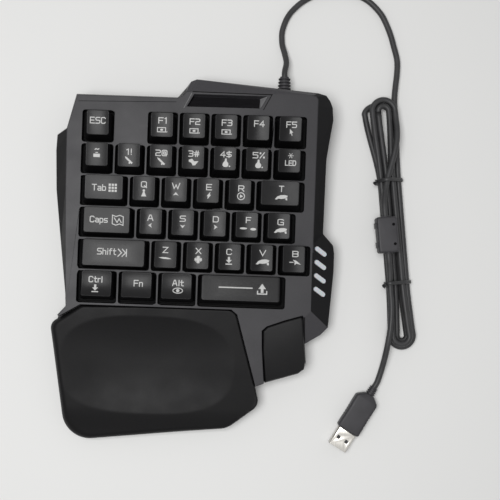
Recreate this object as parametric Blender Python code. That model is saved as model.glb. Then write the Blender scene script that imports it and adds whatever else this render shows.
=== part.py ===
"""One-handed keyboard: a 35-key half keyboard with a palm rest and a tied cable.

Metres, +Z up, +Y away from the user, standing on z = 0. Two frames carry the
pieces. Pieces under the desk frame are level with the desk: the feet and the
cable. Pieces under the deck frame tilt with the key deck, whose top face is
z = 0 there: the cases, the keys and the switch stack.
"""

import math

import bmesh
import bpy
from mathutils import Matrix, Vector

# Key field
KEY_PITCH = 0.01905
KEY_ROWS = (
    (("key_esc", 1.0), (None, 1.0), ("key_f1", 1.0), ("key_f2", 1.0), ("key_f3", 1.0),
     ("key_f4", 1.0), ("key_f5", 1.0)),
    (("key_grave", 1.0), ("key_1", 1.0), ("key_2", 1.0), ("key_3", 1.0), ("key_4", 1.0),
     ("key_5", 1.0), ("key_mode", 1.0)),
    (("key_tab", 1.5), ("key_q", 1.0), ("key_w", 1.0), ("key_e", 1.0), ("key_r", 1.0),
     ("key_t", 1.5)),
    (("key_caps", 1.75), ("key_a", 1.0), ("key_s", 1.0), ("key_d", 1.0), ("key_f", 1.0),
     ("key_g", 1.0)),
    (("key_shift", 2.25), ("key_z", 1.0), ("key_x", 1.0), ("key_c", 1.0), ("key_v", 1.0),
     ("key_b", 1.0)),
    (("key_ctrl", 1.25), ("key_fn", 1.25), ("key_alt", 1.25), ("key_space", 2.75)),
)
FIELD_UNITS = max(sum(units for _, units in row) for row in KEY_ROWS)
FIELD_WIDTH = FIELD_UNITS * KEY_PITCH
FIELD_DEPTH = len(KEY_ROWS) * KEY_PITCH
KEY_TRAVEL = 0.0035
PRESS_MARGIN = 0.0007

# Case, in plan: margins from the key field to the outermost edges
LEFT_MARGIN = 0.0171
RIGHT_MARGIN = 0.0161
REAR_MARGIN = 0.0219
PALM_DEPTH = 0.0840
CASE_WIDTH = LEFT_MARGIN + FIELD_WIDTH + RIGHT_MARGIN
CASE_DEPTH = REAR_MARGIN + FIELD_DEPTH + PALM_DEPTH
FIELD_LEFT = LEFT_MARGIN - CASE_WIDTH / 2
FIELD_RIGHT = FIELD_LEFT + FIELD_WIDTH
FIELD_REAR = CASE_DEPTH / 2 - REAR_MARGIN
FIELD_FRONT = FIELD_REAR - FIELD_DEPTH

# Case, in height
DECK_SLOPE = math.radians(3.0)
DECK_HEIGHT = 0.0225
PARTING_DEPTH = 0.0110
FLANK_DROP = 0.0070
DECK_THICKNESS = 0.0020
FLOOR_THICKNESS = 0.0020
GROUND_CLEARANCE = 0.0012
BELLY_RISE = 0.0024
BELLY_SHARE = 0.975
SEAT_GAP = 0.0003
PANEL_GAP = 0.0004
OVERRUN = 0.0010
STADIUM_SHARE = 0.98

# Wells between the deck's ribs
RIB = 0.0018
WELL_EDGE_MARGIN = 0.0004
WELL_RADIUS = 0.0012
WELL_CORNER_STEPS = 2

# Keycaps, with the rows in order from the rear
CAP_GAP = 0.00045
CAP_SKIRT_DEPTH = 0.0010
CAP_SIDE_TAPER = 0.00172
CAP_BASE_RADIUS = 0.0016
CAP_TOP_RADIUS = 0.0018
CAP_EDGE_ROUND = 0.0006
CAP_WALL = 0.0012
CAP_ROOF = 0.0016
CAP_HEIGHT = 0.0074
CAP_DISH = 0.0006
CAP_WIDE_UNITS = 1.6
CAP_WIDE_DISH = 0.0002
CAP_CORNER_STEPS = 2
CAP_DISH_STEPS = 4
CAP_ROW_HEIGHT_SHARES = (1.0, 0.90, 0.82, 0.79, 0.81, 0.84)
CAP_ROW_DEPTH_SHARES = (0.869, 0.832, 0.844, 0.869, 0.899, 0.936)
CAP_ROW_SLOPES = tuple(math.radians(a) for a in (7.0, 5.0, 3.0, 0.0, -3.0, -6.0))
CAP_REAR_INSET = 0.0002

# Plungers and the frame that guides them
PLUNGER_SIZE = 0.0050
PLUNGER_BOTTOM = 0.0074
GUIDE_CLEARANCE = 0.0003
GUIDE_WALL = 0.0012
GUIDE_TOP = CAP_SKIRT_DEPTH + KEY_TRAVEL + PRESS_MARGIN
GUIDE_THICKNESS = 0.0015
GUIDE_CHIMNEY = 0.0034
GUIDE_RIM = 0.0014
TRAY_MARGIN = 0.0019
TRAY_REAR_MARGIN = 0.0020
TRAY_FRONT_MARGIN = 0.0016
TRAY_LEFT_MARGIN = 0.0045

# Switch stack under the guide frame
DOME_BASE_RADIUS = 0.0052
DOME_TOP_RADIUS = 0.0028
DOME_SHEET = 0.0006
DOME_SIDES = 6
STACK_TOP = PLUNGER_BOTTOM + KEY_TRAVEL + PRESS_MARGIN
MEMBRANE_THICKNESS = 0.0004
PLATE_THICKNESS = 0.0010
BOSS_RADIUS = 0.0032
BOSS_COLUMN_SHARES = (0.06, 0.50, 0.94)
BOSS_ROW_SHARES = (0.04, 0.50, 0.96)

# Rear bay for the controller board, under the hump
BAY_LEFT_SHARE = 0.50
BAY_RIGHT_SHARE = 0.985
BAY_REAR_SHARE = 1.52
BAY_TOP = 0.0055
BOARD_THICKNESS = 0.0016
BOARD_MARGIN = 0.0012
BOARD_DEPTH_BELOW_DECK = 0.0115
BOARD_POST_SHARES = (0.10, 0.88)

# Bezel and window in the hump
WINDOW_DEPTH = 0.0028
BEZEL_SEAM = 0.0005

# Light bars in the right flank
LIGHT_COUNT = 4
LIGHT_PITCH = 0.0081
LIGHT_LENGTH = 0.0090
LIGHT_WIDTH = 0.0027
LIGHT_ANGLE = math.radians(-31.0)
LIGHT_FIRST_SHARE = 0.304
LIGHT_ACROSS_SHARE = 0.37
LIGHT_SKIN = 0.0020
LIGHT_PROUD = 0.0002
LIGHT_STRIP_THICKNESS = 0.0015
LIGHT_STRIP_WIDTH = 0.0080
LIGHT_CORNER_STEPS = 4

# Palm rest and thumb rest
PALM_RADII = (0.0060, 0.0060, 0.0170, 0.0130, 0.0070, 0.0055)
PALM_CORNER_STEPS = 6
PALM_REAR_DROP = 0.0010
PALM_FALL = 0.0032
PALM_ROOF = 0.0024
PALM_WALL = 0.0024
PALM_DISH = 0.0030
PALM_ROUND = 0.0050
PALM_ROOM_SHARE = 0.10
PALM_CENTRE_SHARES = (0.32, -0.455)
PALM_RINGS = (
    # inward share of the way to the centre, share of the edge rounding, share of the dish
    (0.000, 1.00, 0.00),
    (0.010, 0.45, 0.00),
    (0.040, 0.10, 0.00),
    (0.080, 0.00, 0.00),
    (0.130, 0.00, 0.12),
    (0.220, 0.00, 0.62),
    (0.400, 0.00, 0.90),
    (0.700, 0.00, 1.00),
)
THUMB_DROP = 0.0005
THUMB_FALL = 0.0016
THUMB_EDGE = 0.0012

# Feet
FOOT_LENGTH = 0.0200
FOOT_WIDTH = 0.0080
FOOT_RECESS = 0.0006
FOOT_CORNER_STEPS = 4
TILT_FOOT_WIDTH = 0.0200
TILT_FOOT_LENGTH = 0.0150
TILT_FOOT_THICKNESS = 0.0036
TILT_FOOT_CLEARANCE = 0.0005
TILT_PIN_RADIUS = 0.0012
TILT_PIN_LENGTH = 0.0012
TILT_PIN_CLEARANCE = 0.0003
TILT_POCKET_WALL = 0.0024
TILT_FOOT_SHARE = 0.30
TILT_REAR_SHARE = 0.415
REAR_FOOT_SHARES = (0.36, 0.29)
FRONT_FOOT_LEFT_SHARES = (-0.36, -0.415)
FRONT_FOOT_RIGHT_SHARES = (0.12, -0.390)
SCREW_SEAT_RADIUS = 0.0033
SCREW_SEAT_DEPTH = 0.0010
SCREW_SEAT_SIDES = 12
SCREW_SEAT_SHARES = (
    (-0.42, 0.12), (0.40, 0.12), (-0.42, -0.12), (0.40, -0.14), (-0.02, 0.40), (-0.10, -0.30),
)

# Cable
CORD_DIAMETER = 0.0036
CORD_RADIUS = CORD_DIAMETER / 2
CORD_SIDES_RESOLUTION = 2
HANK_SIDES_RESOLUTION = 1
RELIEF_SHARE = 0.877
RELIEF_HEIGHT = 0.0095
RELIEF_LENGTH = 0.0100
RELIEF_RADIUS = 0.0037
RELIEF_NECK_RADIUS = 0.0031
RELIEF_GROOVE_RADIUS = 0.0026
RELIEF_FLANGE = 0.0014
RELIEF_WALL_GAP = 0.0006
RELIEF_FLANGE_RADIUS = 0.0043
RELIEF_RIBS = 4
RELIEF_RIB_SHARES = (0.10, 0.60, 0.70, 1.00)
RELIEF_SIDES = 12

# Route of the lead, as points over the desk in the desk frame
LEAD_ROUTE = (
    (0.0540, 0.1210, 0.0095), (0.0536, 0.1270, 0.0070), (0.0525, 0.1340, 0.0035),
    (0.0508, 0.1410, 0.0019), (0.0510, 0.1500, 0.0019), (0.0560, 0.1610, 0.0019),
    (0.0680, 0.1710, 0.0019), (0.0850, 0.1755, 0.0019), (0.1010, 0.1720, 0.0019),
    (0.1120, 0.1630, 0.0019), (0.1180, 0.1520, 0.0019), (0.1216, 0.1410, 0.0020),
    (0.1240, 0.1300, 0.0024), (0.1247, 0.1210, 0.0031),
)
# Hank of cable: two layers of nested loops, in a frame along the hank
HANK_CENTRE = (0.1239, 0.0290)
HANK_TURN = math.radians(6.3)
HANK_LOOPS = 3
HANK_LOOP_POINTS = 24
HANK_ARC_POINTS = 7
HANK_CROSSING_POINTS = 8
HANK_CROSSING_SHARE = 0.15
HANK_LIFTED_SHARE = 0.40
HANK_RISE_SHARE = 0.70
HANK_STRAND_PITCH = 0.00424
HANK_BASE = 0.0032
HANK_STRAIGHT = 0.0700
HANK_LOBE = 0.0086
HANK_WAIST = 0.0072
TIE_PLACES = (0.0265, -0.0373)
TIE_WIDTH = 0.0030
TIE_THICKNESS = 0.0008
TIE_SIDES = 24
FERRITE_PLACE = (-0.0045, -0.0077)
FERRITE_SIZE = (0.0125, 0.0220, 0.0090)
FERRITE_BEVEL = 0.0012
# Route of the cable from the ferrite to the plug, in the hank's frame
TAIL_ROUTE = (
    (-0.0052, -0.0310, 0.0130), (-0.0060, -0.0390, 0.0119), (-0.0064, -0.0520, 0.0118),
    (-0.0084, -0.0640, 0.0118), (-0.0106, -0.0735, 0.0106), (-0.0126, -0.0815, 0.0082),
    (-0.0148, -0.0890, 0.0056),
)

# Plug, along its own axis from the neck to the shell's mouth
PLUG_START = (0.1141, -0.0731)
PLUG_TURN = math.radians(-30.5)
PLUG_HEIGHT = 0.0041
PLUG_NECK_LENGTH = 0.0050
PLUG_NECK_RADIUS = 0.0029
PLUG_NECK_RINGS = 2
PLUG_BODY_LENGTH = 0.0262
PLUG_BODY_WIDTH = 0.0146
PLUG_BODY_THICKNESS = 0.0076
PLUG_BODY_RADIUS = 0.0018
PLUG_SHOULDER = 0.0032
PLUG_SHOULDER_SHARES = (0.72, 0.86)
PLUG_END_SHARE = 0.94
PLUG_RING_SHARE = 0.90
PLUG_GROOVE_SHARE = 0.82
SHELL_LENGTH = 0.0118
SHELL_WIDTH = 0.0120
SHELL_THICKNESS = 0.0045
SHELL_WALL = 0.0004
SHELL_HOLE = 0.0020
SHELL_HOLE_SPACING = 0.0056
SHELL_HOLE_PLACE_SHARE = 0.48
TONGUE_LENGTH_SHARE = 0.80
TONGUE_THICKNESS = 0.0018

# Corners of the case around the rim, as plan shares: the deck edge and, beside it,
# the foot of the flank below that edge, with the share of the flank's drop there
CASE_EDGE_SHARES = (
    (-0.246, 1.438, -0.339, 1.511, 1.0),
    (0.405, 1.438, 0.404, 1.511, 1.0),
    (0.429, 1.521, 0.444, 1.799, 0.8),
    (0.442, 1.612, 0.461, 1.941, 0.6),
    (0.462, 1.639, 0.486, 2.000, 0.5),
    (0.995, 1.639, 1.155, 1.735, 0.5),
    (1.080, 1.607, 1.484, 1.685, 0.7),
    (1.142, 1.530, 1.652, 1.557, 1.0),
    (1.142, 1.347, 1.751, 1.374, 1.0),
    (1.142, 1.032, 1.794, 1.032, 1.0),
    (1.142, 0.862, 1.645, 0.862, 1.0),
    (1.142, 0.793, 1.583, 0.793, 1.0),
    (1.142, 0.398, 1.552, 0.398, 1.0),
    (1.142, 0.339, 1.943, 0.339, 1.0),
    (1.142, 0.296, 1.999, 0.296, 1.0),
    (1.142, 0.195, 1.999, 0.195, 1.0),
    (1.142, -0.015, 1.857, -0.135, 1.0),
    (1.049, -0.035, 1.589, -0.190, 1.0),
    (0.991, -0.061, 1.000, -0.260, 1.0),
    (0.982, -0.050, 0.989, -0.048, 1.0),
    (0.906, -0.088, 0.906, -0.088, 1.0),
    (0.828, -0.136, 0.828, -0.136, 1.0),
    (0.807, -0.169, 0.807, -0.169, 1.0),
    (0.810, -0.305, 0.810, -0.305, 1.0),
    (0.823, -0.546, 0.823, -0.554, 1.0),
    (0.788, -0.568, 0.788, -0.575, 1.0),
    (0.698, -0.060, 0.698, -0.060, 1.0),
    (0.671, -0.025, 0.671, -0.025, 1.0),
    (0.012, -0.025, 0.012, -0.025, 1.0),
    (-0.632, -0.114, -0.655, -0.119, 1.0),
    (-0.690, -0.106, -0.749, -0.108, 1.0),
    (-0.404, -0.039, -0.450, -0.039, 1.0),
    (-0.421, 0.015, -0.485, 0.015, 1.0),
    (-0.497, 0.316, -0.731, 0.316, 1.0),
    (-0.544, 0.583, -0.942, 0.583, 1.0),
    (-0.567, 0.795, -1.000, 0.795, 1.0),
    (-0.573, 0.876, -0.977, 0.876, 1.0),
    (-0.573, 0.906, -0.661, 0.908, 1.0),
)
# First and last of those corners that the lower case shares, by count from the start
BELLY_FIRST = 30
BELLY_LAST = 18
PALM_CORNER_SHARES = (
    (0.013, -0.031), (-0.988, -0.168), (-0.322, -1.021), (0.670, -0.888), (0.809, -0.707),
    (0.689, -0.031),
)
THUMB_CORNER_SHARES = (
    (0.979, -0.057), (0.906, -0.094), (0.831, -0.141), (0.8125, -0.173), (0.815, -0.305),
    (0.828, -0.546), (0.973, -0.471), (0.999, -0.437), (1.037, -0.373), (0.996, -0.275),
    (0.985, -0.080),
)
THUMB_RIM_CORNERS = (5, 6, 7, 8, 9)
BEZEL_SHARES = ((0.434, 1.169), (0.471, 1.644), (0.815, 1.635), (0.778, 1.192))
WINDOW_TOP_SHARES = ((0.447, 1.215), (0.477, 1.562), (0.798, 1.566), (0.769, 1.230))
WINDOW_FLOOR_SHARES = ((0.450, 1.237), (0.472, 1.520), (0.765, 1.502), (0.758, 1.250))

# Finishes: colour, roughness and metallic value
SHELL_BLACK = ("shell_black", (0.030, 0.030, 0.032), 0.42, 0.0)
CAP_BLACK = ("cap_black", (0.022, 0.022, 0.024), 0.48, 0.0)
PALM_BLACK = ("palm_black", (0.017, 0.017, 0.019), 0.38, 0.0)
INNER_BLACK = ("inner_black", (0.010, 0.010, 0.011), 0.60, 0.0)
LIGHT_WHITE = ("light_white", (0.80, 0.82, 0.80), 0.30, 0.0)
DOME_WHITE = ("dome_white", (0.70, 0.70, 0.68), 0.55, 0.0)
MEMBRANE_CLEAR = ("membrane_clear", (0.55, 0.60, 0.62), 0.25, 0.0)
PLATE_STEEL = ("plate_steel", (0.50, 0.50, 0.51), 0.35, 1.0)
BOARD_GREEN = ("board_green", (0.02, 0.16, 0.07), 0.50, 0.0)
FOOT_RUBBER = ("foot_rubber", (0.015, 0.015, 0.015), 0.85, 0.0)
CORD_BLACK = ("cord_black", (0.035, 0.035, 0.037), 0.50, 0.0)
PLUG_METAL = ("plug_metal", (0.78, 0.76, 0.72), 0.28, 1.0)


def piecewise(share, below, middle, above):
    """Place a share on a line whose margins and middle each have a length of their own."""
    if share < 0.0:
        return share * below
    if share > 1.0:
        return middle + (share - 1.0) * above
    return share * middle


def plan(x_share, y_share):
    """Turn plan shares into deck coordinates: 0 to 1 spans the key field each way."""
    x = FIELD_LEFT + piecewise(x_share, LEFT_MARGIN, FIELD_WIDTH, RIGHT_MARGIN)
    y = FIELD_FRONT + piecewise(y_share, PALM_DEPTH, FIELD_DEPTH, REAR_MARGIN)
    return x, y


def plans(shares):
    """Turn a table of plan shares into a list of deck points."""
    return [plan(*pair) for pair in shares]


def rectangle(left, right, front, rear):
    """List the corners of a rectangle, anticlockwise from the front left."""
    return [(left, front), (right, front), (right, rear), (left, rear)]


def rounded(corners, radii, steps):
    """Round each corner of a convex outline with an arc of the given steps."""
    points = []
    count = len(corners)
    for index, corner in enumerate(corners):
        here = Vector(corner)
        before = (Vector(corners[index - 1]) - here).normalized()
        after = (Vector(corners[(index + 1) % count]) - here).normalized()
        half = before.angle(after) / 2
        inward = (before + after).normalized()
        centre = here + inward * (radii[index] / math.sin(half))
        start = here + before * (radii[index] / math.tan(half)) - centre
        end = here + after * (radii[index] / math.tan(half)) - centre
        sweep = start.angle_signed(end)
        for step in range(steps + 1):
            turned = start.copy()
            turned.rotate(Matrix.Rotation(-sweep * step / steps, 2))
            points.append(tuple(centre + turned))
    return points


def rounded_box(width, depth, radius, steps):
    """Outline of a rounded rectangle about the origin."""
    corners = rectangle(-width / 2, width / 2, -depth / 2, depth / 2)
    return rounded(corners, [radius] * len(corners), steps)


def stadium(length, width, steps):
    """Outline of a bar with round ends about the origin."""
    return rounded_box(length, width, STADIUM_SHARE * width / 2, steps)


def moved(points, x, y):
    """Shift an outline."""
    return [(px + x, py + y) for px, py in points]


def towards(points, centre, share):
    """Draw an outline in by a share of the way to a centre."""
    return [(px + (centre[0] - px) * share, py + (centre[1] - py) * share) for px, py in points]


def ring(bm, points, height):
    """Make one ring of vertices, at one height or at a height worked out per point."""
    level = height if callable(height) else (lambda x, y: height)
    return [bm.verts.new((x, y, level(x, y))) for x, y in points]


def bridge(bm, lower, upper):
    """Join two rings of equal count with quads."""
    count = len(lower)
    for index in range(count):
        after = (index + 1) % count
        bm.faces.new((lower[index], lower[after], upper[after], upper[index]))


def loop_edges(bm, verts):
    """Find or make the edges that run round a ring."""
    edges = []
    for index, vert in enumerate(verts):
        other = verts[(index + 1) % len(verts)]
        edges.append(bm.edges.get((vert, other)) or bm.edges.new((vert, other)))
    return edges


def fill_between(bm, outer, inner):
    """Fill the flat band between two rings of unlike count."""
    edges = loop_edges(bm, outer) + loop_edges(bm, inner)
    bmesh.ops.triangle_fill(bm, use_beauty=True, use_dissolve=False, edges=edges)


def stack(bm, rings, closed=True):
    """Bridge rings in order, and cap both ends where the stack is closed."""
    for lower, upper in zip(rings, rings[1:]):
        bridge(bm, lower, upper)
    if closed:
        bm.faces.new(rings[0])
        bm.faces.new(rings[-1])


def material(finish):
    """Make, or find, the material of a finish."""
    name, colour, roughness, metallic = finish
    found = bpy.data.materials.get(name)
    if found:
        return found
    made = bpy.data.materials.new(name)
    made.use_nodes = True
    shader = made.node_tree.nodes["Principled BSDF"]
    shader.inputs["Base Color"].default_value = (*colour, 1.0)
    shader.inputs["Roughness"].default_value = roughness
    shader.inputs["Metallic"].default_value = metallic
    return made


def finish_object(name, bm, finish, parent):
    """Turn a bmesh into a named object under its frame, with faces pointing out."""
    bmesh.ops.recalc_face_normals(bm, faces=bm.faces)
    mesh = bpy.data.meshes.new(name)
    bm.to_mesh(mesh)
    bm.free()
    mesh.shade_smooth()
    mesh.set_sharp_from_angle(angle=math.radians(32))
    made = bpy.data.objects.new(name, mesh)
    bpy.context.scene.collection.objects.link(made)
    made.parent = parent
    if finish:
        mesh.materials.append(material(finish))
    return made


def prism_into(bm, outline, low, high):
    """Add a closed prism to a bmesh."""
    stack(bm, [ring(bm, outline, low), ring(bm, outline, high)])


def tool(name, prisms, parent):
    """Make a cutter or an addition out of prisms given as outline, low and high."""
    bm = bmesh.new()
    for outline, low, high in prisms:
        prism_into(bm, outline, low, high)
    made = finish_object(name, bm, None, parent)
    hide_tool(made)
    return made


def hide_tool(made):
    """Show a tool as wire and leave it out of renders."""
    made.hide_render = True
    made.display_type = "WIRE"


def combine(target, other, operation):
    """Add a Boolean modifier to a target."""
    modifier = target.modifiers.new(other.name, "BOOLEAN")
    modifier.operation = operation
    modifier.solver = "EXACT"
    modifier.object = other


def cut(target, other):
    """Cut a tool out of a target."""
    combine(target, other, "DIFFERENCE")


def fuse(target, other):
    """Fuse a tool onto a target."""
    combine(target, other, "UNION")


def circle(radius, sides, x=0.0, y=0.0):
    """Outline of a regular polygon that stands for a circle."""
    turn = 2 * math.pi / sides
    return [(x + radius * math.cos(turn * i), y + radius * math.sin(turn * i)) for i in range(sides)]


def make_frames():
    """Make the level desk frame and the tilted deck frame."""
    desk = bpy.data.objects.new("desk_frame", None)
    deck = bpy.data.objects.new("deck_frame", None)
    for frame in (desk, deck):
        bpy.context.scene.collection.objects.link(frame)
    deck.parent = desk
    deck.location = (0.0, 0.0, DECK_HEIGHT)
    deck.rotation_euler = (DECK_SLOPE, 0.0, 0.0)
    return desk, deck


def ground_level(height):
    """Height in the deck frame, by place, of a level plane above the desk."""
    def level(_, y):
        return (height - DECK_HEIGHT - y * math.sin(DECK_SLOPE)) / math.cos(DECK_SLOPE)
    return level


def key_places():
    """Centre, units and row of every key, and whether it ends its row."""
    places = {}
    for row_index, row in enumerate(KEY_ROWS):
        left = FIELD_LEFT
        y = FIELD_REAR - (row_index + 0.5) * KEY_PITCH
        for place, (name, units) in enumerate(row):
            width = units * KEY_PITCH
            if name:
                ends = (place == 0, place == len(row) - 1)
                places[name] = (left + width / 2, y, units, row_index, ends)
            left += width
    return places


def cap_height(row_index, units, width):
    """Height of a cap's top by place over its own centre: its slope and its dish."""
    height = CAP_HEIGHT * CAP_ROW_HEIGHT_SHARES[row_index]
    dish = CAP_DISH if units < CAP_WIDE_UNITS else CAP_WIDE_DISH
    rise = math.tan(CAP_ROW_SLOPES[row_index])

    def level(x, y):
        return height + rise * y - dish * (1.0 - (2 * x / width) ** 2)
    return level


def cap_outline(width, depth, radius):
    """Outline of a cap: round corners, and front and rear edges cut into dish steps."""
    corners = rounded_box(width, depth, radius, CAP_CORNER_STEPS)
    per_corner = CAP_CORNER_STEPS + 1
    points = []
    for corner in range(4):
        arc = corners[corner * per_corner:(corner + 1) * per_corner]
        points.extend(arc)
        if corner in (0, 2):
            start = Vector(arc[-1])
            end = Vector(corners[((corner + 1) * per_corner) % len(corners)])
            for step in range(1, CAP_DISH_STEPS):
                points.append(tuple(start.lerp(end, step / CAP_DISH_STEPS)))
    return points


def make_keycap(name, place, deck):
    """One cap: tapered skirt, dished top, hollow inside, with its plunger."""
    x, y, units, row_index, _ = place
    base_width = units * KEY_PITCH - RIB - 2 * CAP_GAP
    base_depth = KEY_PITCH - RIB - 2 * CAP_GAP
    top_width = base_width - 2 * CAP_SIDE_TAPER
    top_depth = base_depth * CAP_ROW_DEPTH_SHARES[row_index]
    shift = (base_depth - top_depth) / 2 - CAP_REAR_INSET
    level = cap_height(row_index, units, top_width)

    def edge_level(px, py):
        return level(px, py - shift) - CAP_EDGE_ROUND

    def top_level(px, py):
        return level(px, py - shift)

    bm = bmesh.new()
    base = ring(bm, cap_outline(base_width, base_depth, CAP_BASE_RADIUS), -CAP_SKIRT_DEPTH)
    edge_outline = cap_outline(top_width + CAP_EDGE_ROUND, top_depth + CAP_EDGE_ROUND / 2, CAP_TOP_RADIUS)
    edge = ring(bm, moved(edge_outline, 0.0, shift), edge_level)
    top_outline = cap_outline(top_width - CAP_EDGE_ROUND, top_depth - CAP_EDGE_ROUND, CAP_TOP_RADIUS)
    top = ring(bm, moved(top_outline, 0.0, shift), top_level)
    stack(bm, [base, edge, top], closed=False)
    ladder(bm, top)
    roof = level(0.0, -top_depth / 2) if CAP_ROW_SLOPES[row_index] > 0.0 else level(0.0, top_depth / 2)
    roof -= CAP_ROOF
    inner_base = box_ring(bm, base_width - 2 * CAP_WALL, base_depth - 2 * CAP_WALL, 0.0, -CAP_SKIRT_DEPTH)
    inner_roof = box_ring(bm, top_width - 2 * CAP_WALL, top_depth - 2 * CAP_WALL, shift, roof)
    root = box_ring(bm, PLUNGER_SIZE, PLUNGER_SIZE, 0.0, roof)
    tip = box_ring(bm, PLUNGER_SIZE, PLUNGER_SIZE, 0.0, -PLUNGER_BOTTOM)
    fill_between(bm, base, inner_base)
    stack(bm, [inner_base, inner_roof, root, tip], closed=False)
    bm.faces.new(tip)
    made = finish_object(name, bm, CAP_BLACK, deck)
    made.location = (x, y, 0.0)
    return made


def box_ring(bm, width, depth, shift, height):
    """Ring of four corners about the origin, shifted to the rear."""
    outline = rectangle(-width / 2, width / 2, shift - depth / 2, shift + depth / 2)
    return ring(bm, outline, height)


def ladder(bm, top):
    """Fill a cap's top with strips that run from its front edge to its rear edge."""
    half = len(top) // 2
    front = top[:half]
    rear = top[half:][::-1]
    for index in range(half - 1):
        bm.faces.new((front[index], front[index + 1], rear[index + 1], rear[index]))


def well_outline(place):
    """Outline of the well that a cap moves in, wider at the ends of the field."""
    x, y, units, row_index, ends = place
    half = units * KEY_PITCH / 2
    inner = half - RIB / 2
    outer = half + WELL_EDGE_MARGIN
    left = x - (outer if ends[0] else inner)
    right = x + (outer if ends[1] else inner)
    depth = KEY_PITCH / 2
    rear = y + (depth + WELL_EDGE_MARGIN if row_index == 0 else depth - RIB / 2)
    front = y - (depth + WELL_EDGE_MARGIN if row_index == len(KEY_ROWS) - 1 else depth - RIB / 2)
    corners = rectangle(left, right, front, rear)
    return rounded(corners, [WELL_RADIUS] * len(corners), WELL_CORNER_STEPS)


def tray_outline(shrink):
    """Outline of the space under the key field, drawn in by a clearance."""
    return rectangle(
        FIELD_LEFT - TRAY_LEFT_MARGIN + shrink, FIELD_RIGHT + TRAY_MARGIN - shrink,
        FIELD_FRONT - TRAY_FRONT_MARGIN + shrink, FIELD_REAR + TRAY_REAR_MARGIN - shrink)


def bay_outline(shrink):
    """Outline of the bay behind the key field, drawn in by a clearance."""
    left, rear = plan(BAY_LEFT_SHARE, BAY_REAR_SHARE)
    right = plan(BAY_RIGHT_SHARE, BAY_REAR_SHARE)[0]
    return rectangle(left + shrink, right - shrink, FIELD_REAR + TRAY_REAR_MARGIN + shrink, rear - shrink)


def room_outline():
    """Outline of the tray and the bay together."""
    front_left, front_right, rear_right, rear_left = tray_outline(0.0)
    _, _, bay_right, bay_left = bay_outline(0.0)
    return [front_left, front_right, rear_right, (bay_right[0], rear_right[1]), bay_right, bay_left,
            (bay_left[0], rear_left[1]), rear_left]


def flank_frame(along_share):
    """Place and turn of a frame that lies on the right flank, its Z square to the flank."""
    top = Vector((*plan(CASE_EDGE_SHARES[14][0], along_share), 0.0))
    foot = Vector((*plan(CASE_EDGE_SHARES[14][2], along_share), -FLANK_DROP))
    down = foot - top
    place = top + down * LIGHT_ACROSS_SHARE
    tilt = math.atan2(-down.z, down.x)
    return Matrix.Translation(place) @ Matrix.Rotation(tilt, 4, "Y")


def light_outlines(grow):
    """Outlines of the light bars in the flank's frame, grown by a clearance."""
    outlines = []
    turn = Matrix.Rotation(LIGHT_ANGLE, 2)
    for index in range(LIGHT_COUNT):
        bar = stadium(LIGHT_LENGTH + 2 * grow, LIGHT_WIDTH + 2 * grow, LIGHT_CORNER_STEPS)
        turned = [tuple(turn @ Vector(point)) for point in bar]
        outlines.append(moved(turned, 0.0, -index * LIGHT_PITCH))
    return outlines


def light_strip(grow):
    """Outline of the strip behind the light bars, in the flank's frame."""
    half = LIGHT_STRIP_WIDTH / 2 + grow
    rear = LIGHT_LENGTH / 2 + grow
    front = -(LIGHT_COUNT - 1) * LIGHT_PITCH - rear
    return rectangle(-half, half, front, rear)


def make_top_case(deck):
    """Upper case: the deck with its wells and flanks, hollow under the keys."""
    edge = [plan(a, b) for a, b, _, _, _ in CASE_EDGE_SHARES]
    foot = [plan(c, d) for _, _, c, d, _ in CASE_EDGE_SHARES]
    bm = bmesh.new()
    bottom = ring(bm, foot, -PARTING_DEPTH + SEAT_GAP / 2)
    flank = [bm.verts.new((x, y, -FLANK_DROP * row[4])) for (x, y), row in zip(foot, CASE_EDGE_SHARES)]
    top = ring(bm, edge, 0.0)
    stack(bm, [bottom, flank, top])
    case = finish_object("top_case", bm, SHELL_BLACK, deck)

    below = -PARTING_DEPTH - OVERRUN
    tray = tool("top_tray_cut", [(tray_outline(0.0), below, -DECK_THICKNESS)], deck)
    cut(case, tray)
    bay_points = bay_outline(0.0)
    bay_points = [(x, y - OVERRUN if index < 2 else y) for index, (x, y) in enumerate(bay_points)]
    cut(case, tool("top_bay_cut", [(bay_points, below, -BAY_TOP)], deck))
    wells = [(well_outline(place), -DECK_THICKNESS - OVERRUN, OVERRUN) for place in key_places().values()]
    cut(case, tool("well_cut", wells, deck))
    cut(case, window_cutter(deck))
    cut(case, bezel_seam(deck))
    cut_light_seats(case, deck)
    return case


def window_cutter(deck):
    """Tool for the sunk window in the hump, with walls that slope to its floor."""
    bm = bmesh.new()
    top_points = plans(WINDOW_TOP_SHARES)
    floor = ring(bm, plans(WINDOW_FLOOR_SHARES), -WINDOW_DEPTH)
    top = ring(bm, top_points, 0.0)
    above = ring(bm, top_points, OVERRUN)
    stack(bm, [floor, top, above])
    made = finish_object("window_cut", bm, None, deck)
    hide_tool(made)
    return made


def bezel_seam(deck):
    """Tool for the fine seam at the right end of the window's bezel."""
    front, rear = Vector(plan(*BEZEL_SHARES[3])), Vector(plan(*BEZEL_SHARES[2]))
    across = Vector((BEZEL_SEAM, 0.0))
    outline = [tuple(front), tuple(front + across), tuple(rear + across), tuple(rear)]
    return tool("seam_cut", [(outline, -BEZEL_SEAM, OVERRUN)], deck)


def cut_light_seats(case, deck):
    """Cut the pocket behind the right flank and the slots for the light bars."""
    frame = flank_frame(LIGHT_FIRST_SHARE)
    depth = PARTING_DEPTH + LIGHT_SKIN
    pocket = tool("light_pocket_cut", [(light_strip(SEAT_GAP), -depth, -LIGHT_SKIN)], deck)
    slots = [(outline, -LIGHT_SKIN - OVERRUN, OVERRUN) for outline in light_outlines(SEAT_GAP)]
    bars = tool("light_slot_cut", slots, deck)
    for made in (pocket, bars):
        made.matrix_local = frame
        cut(case, made)


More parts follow.
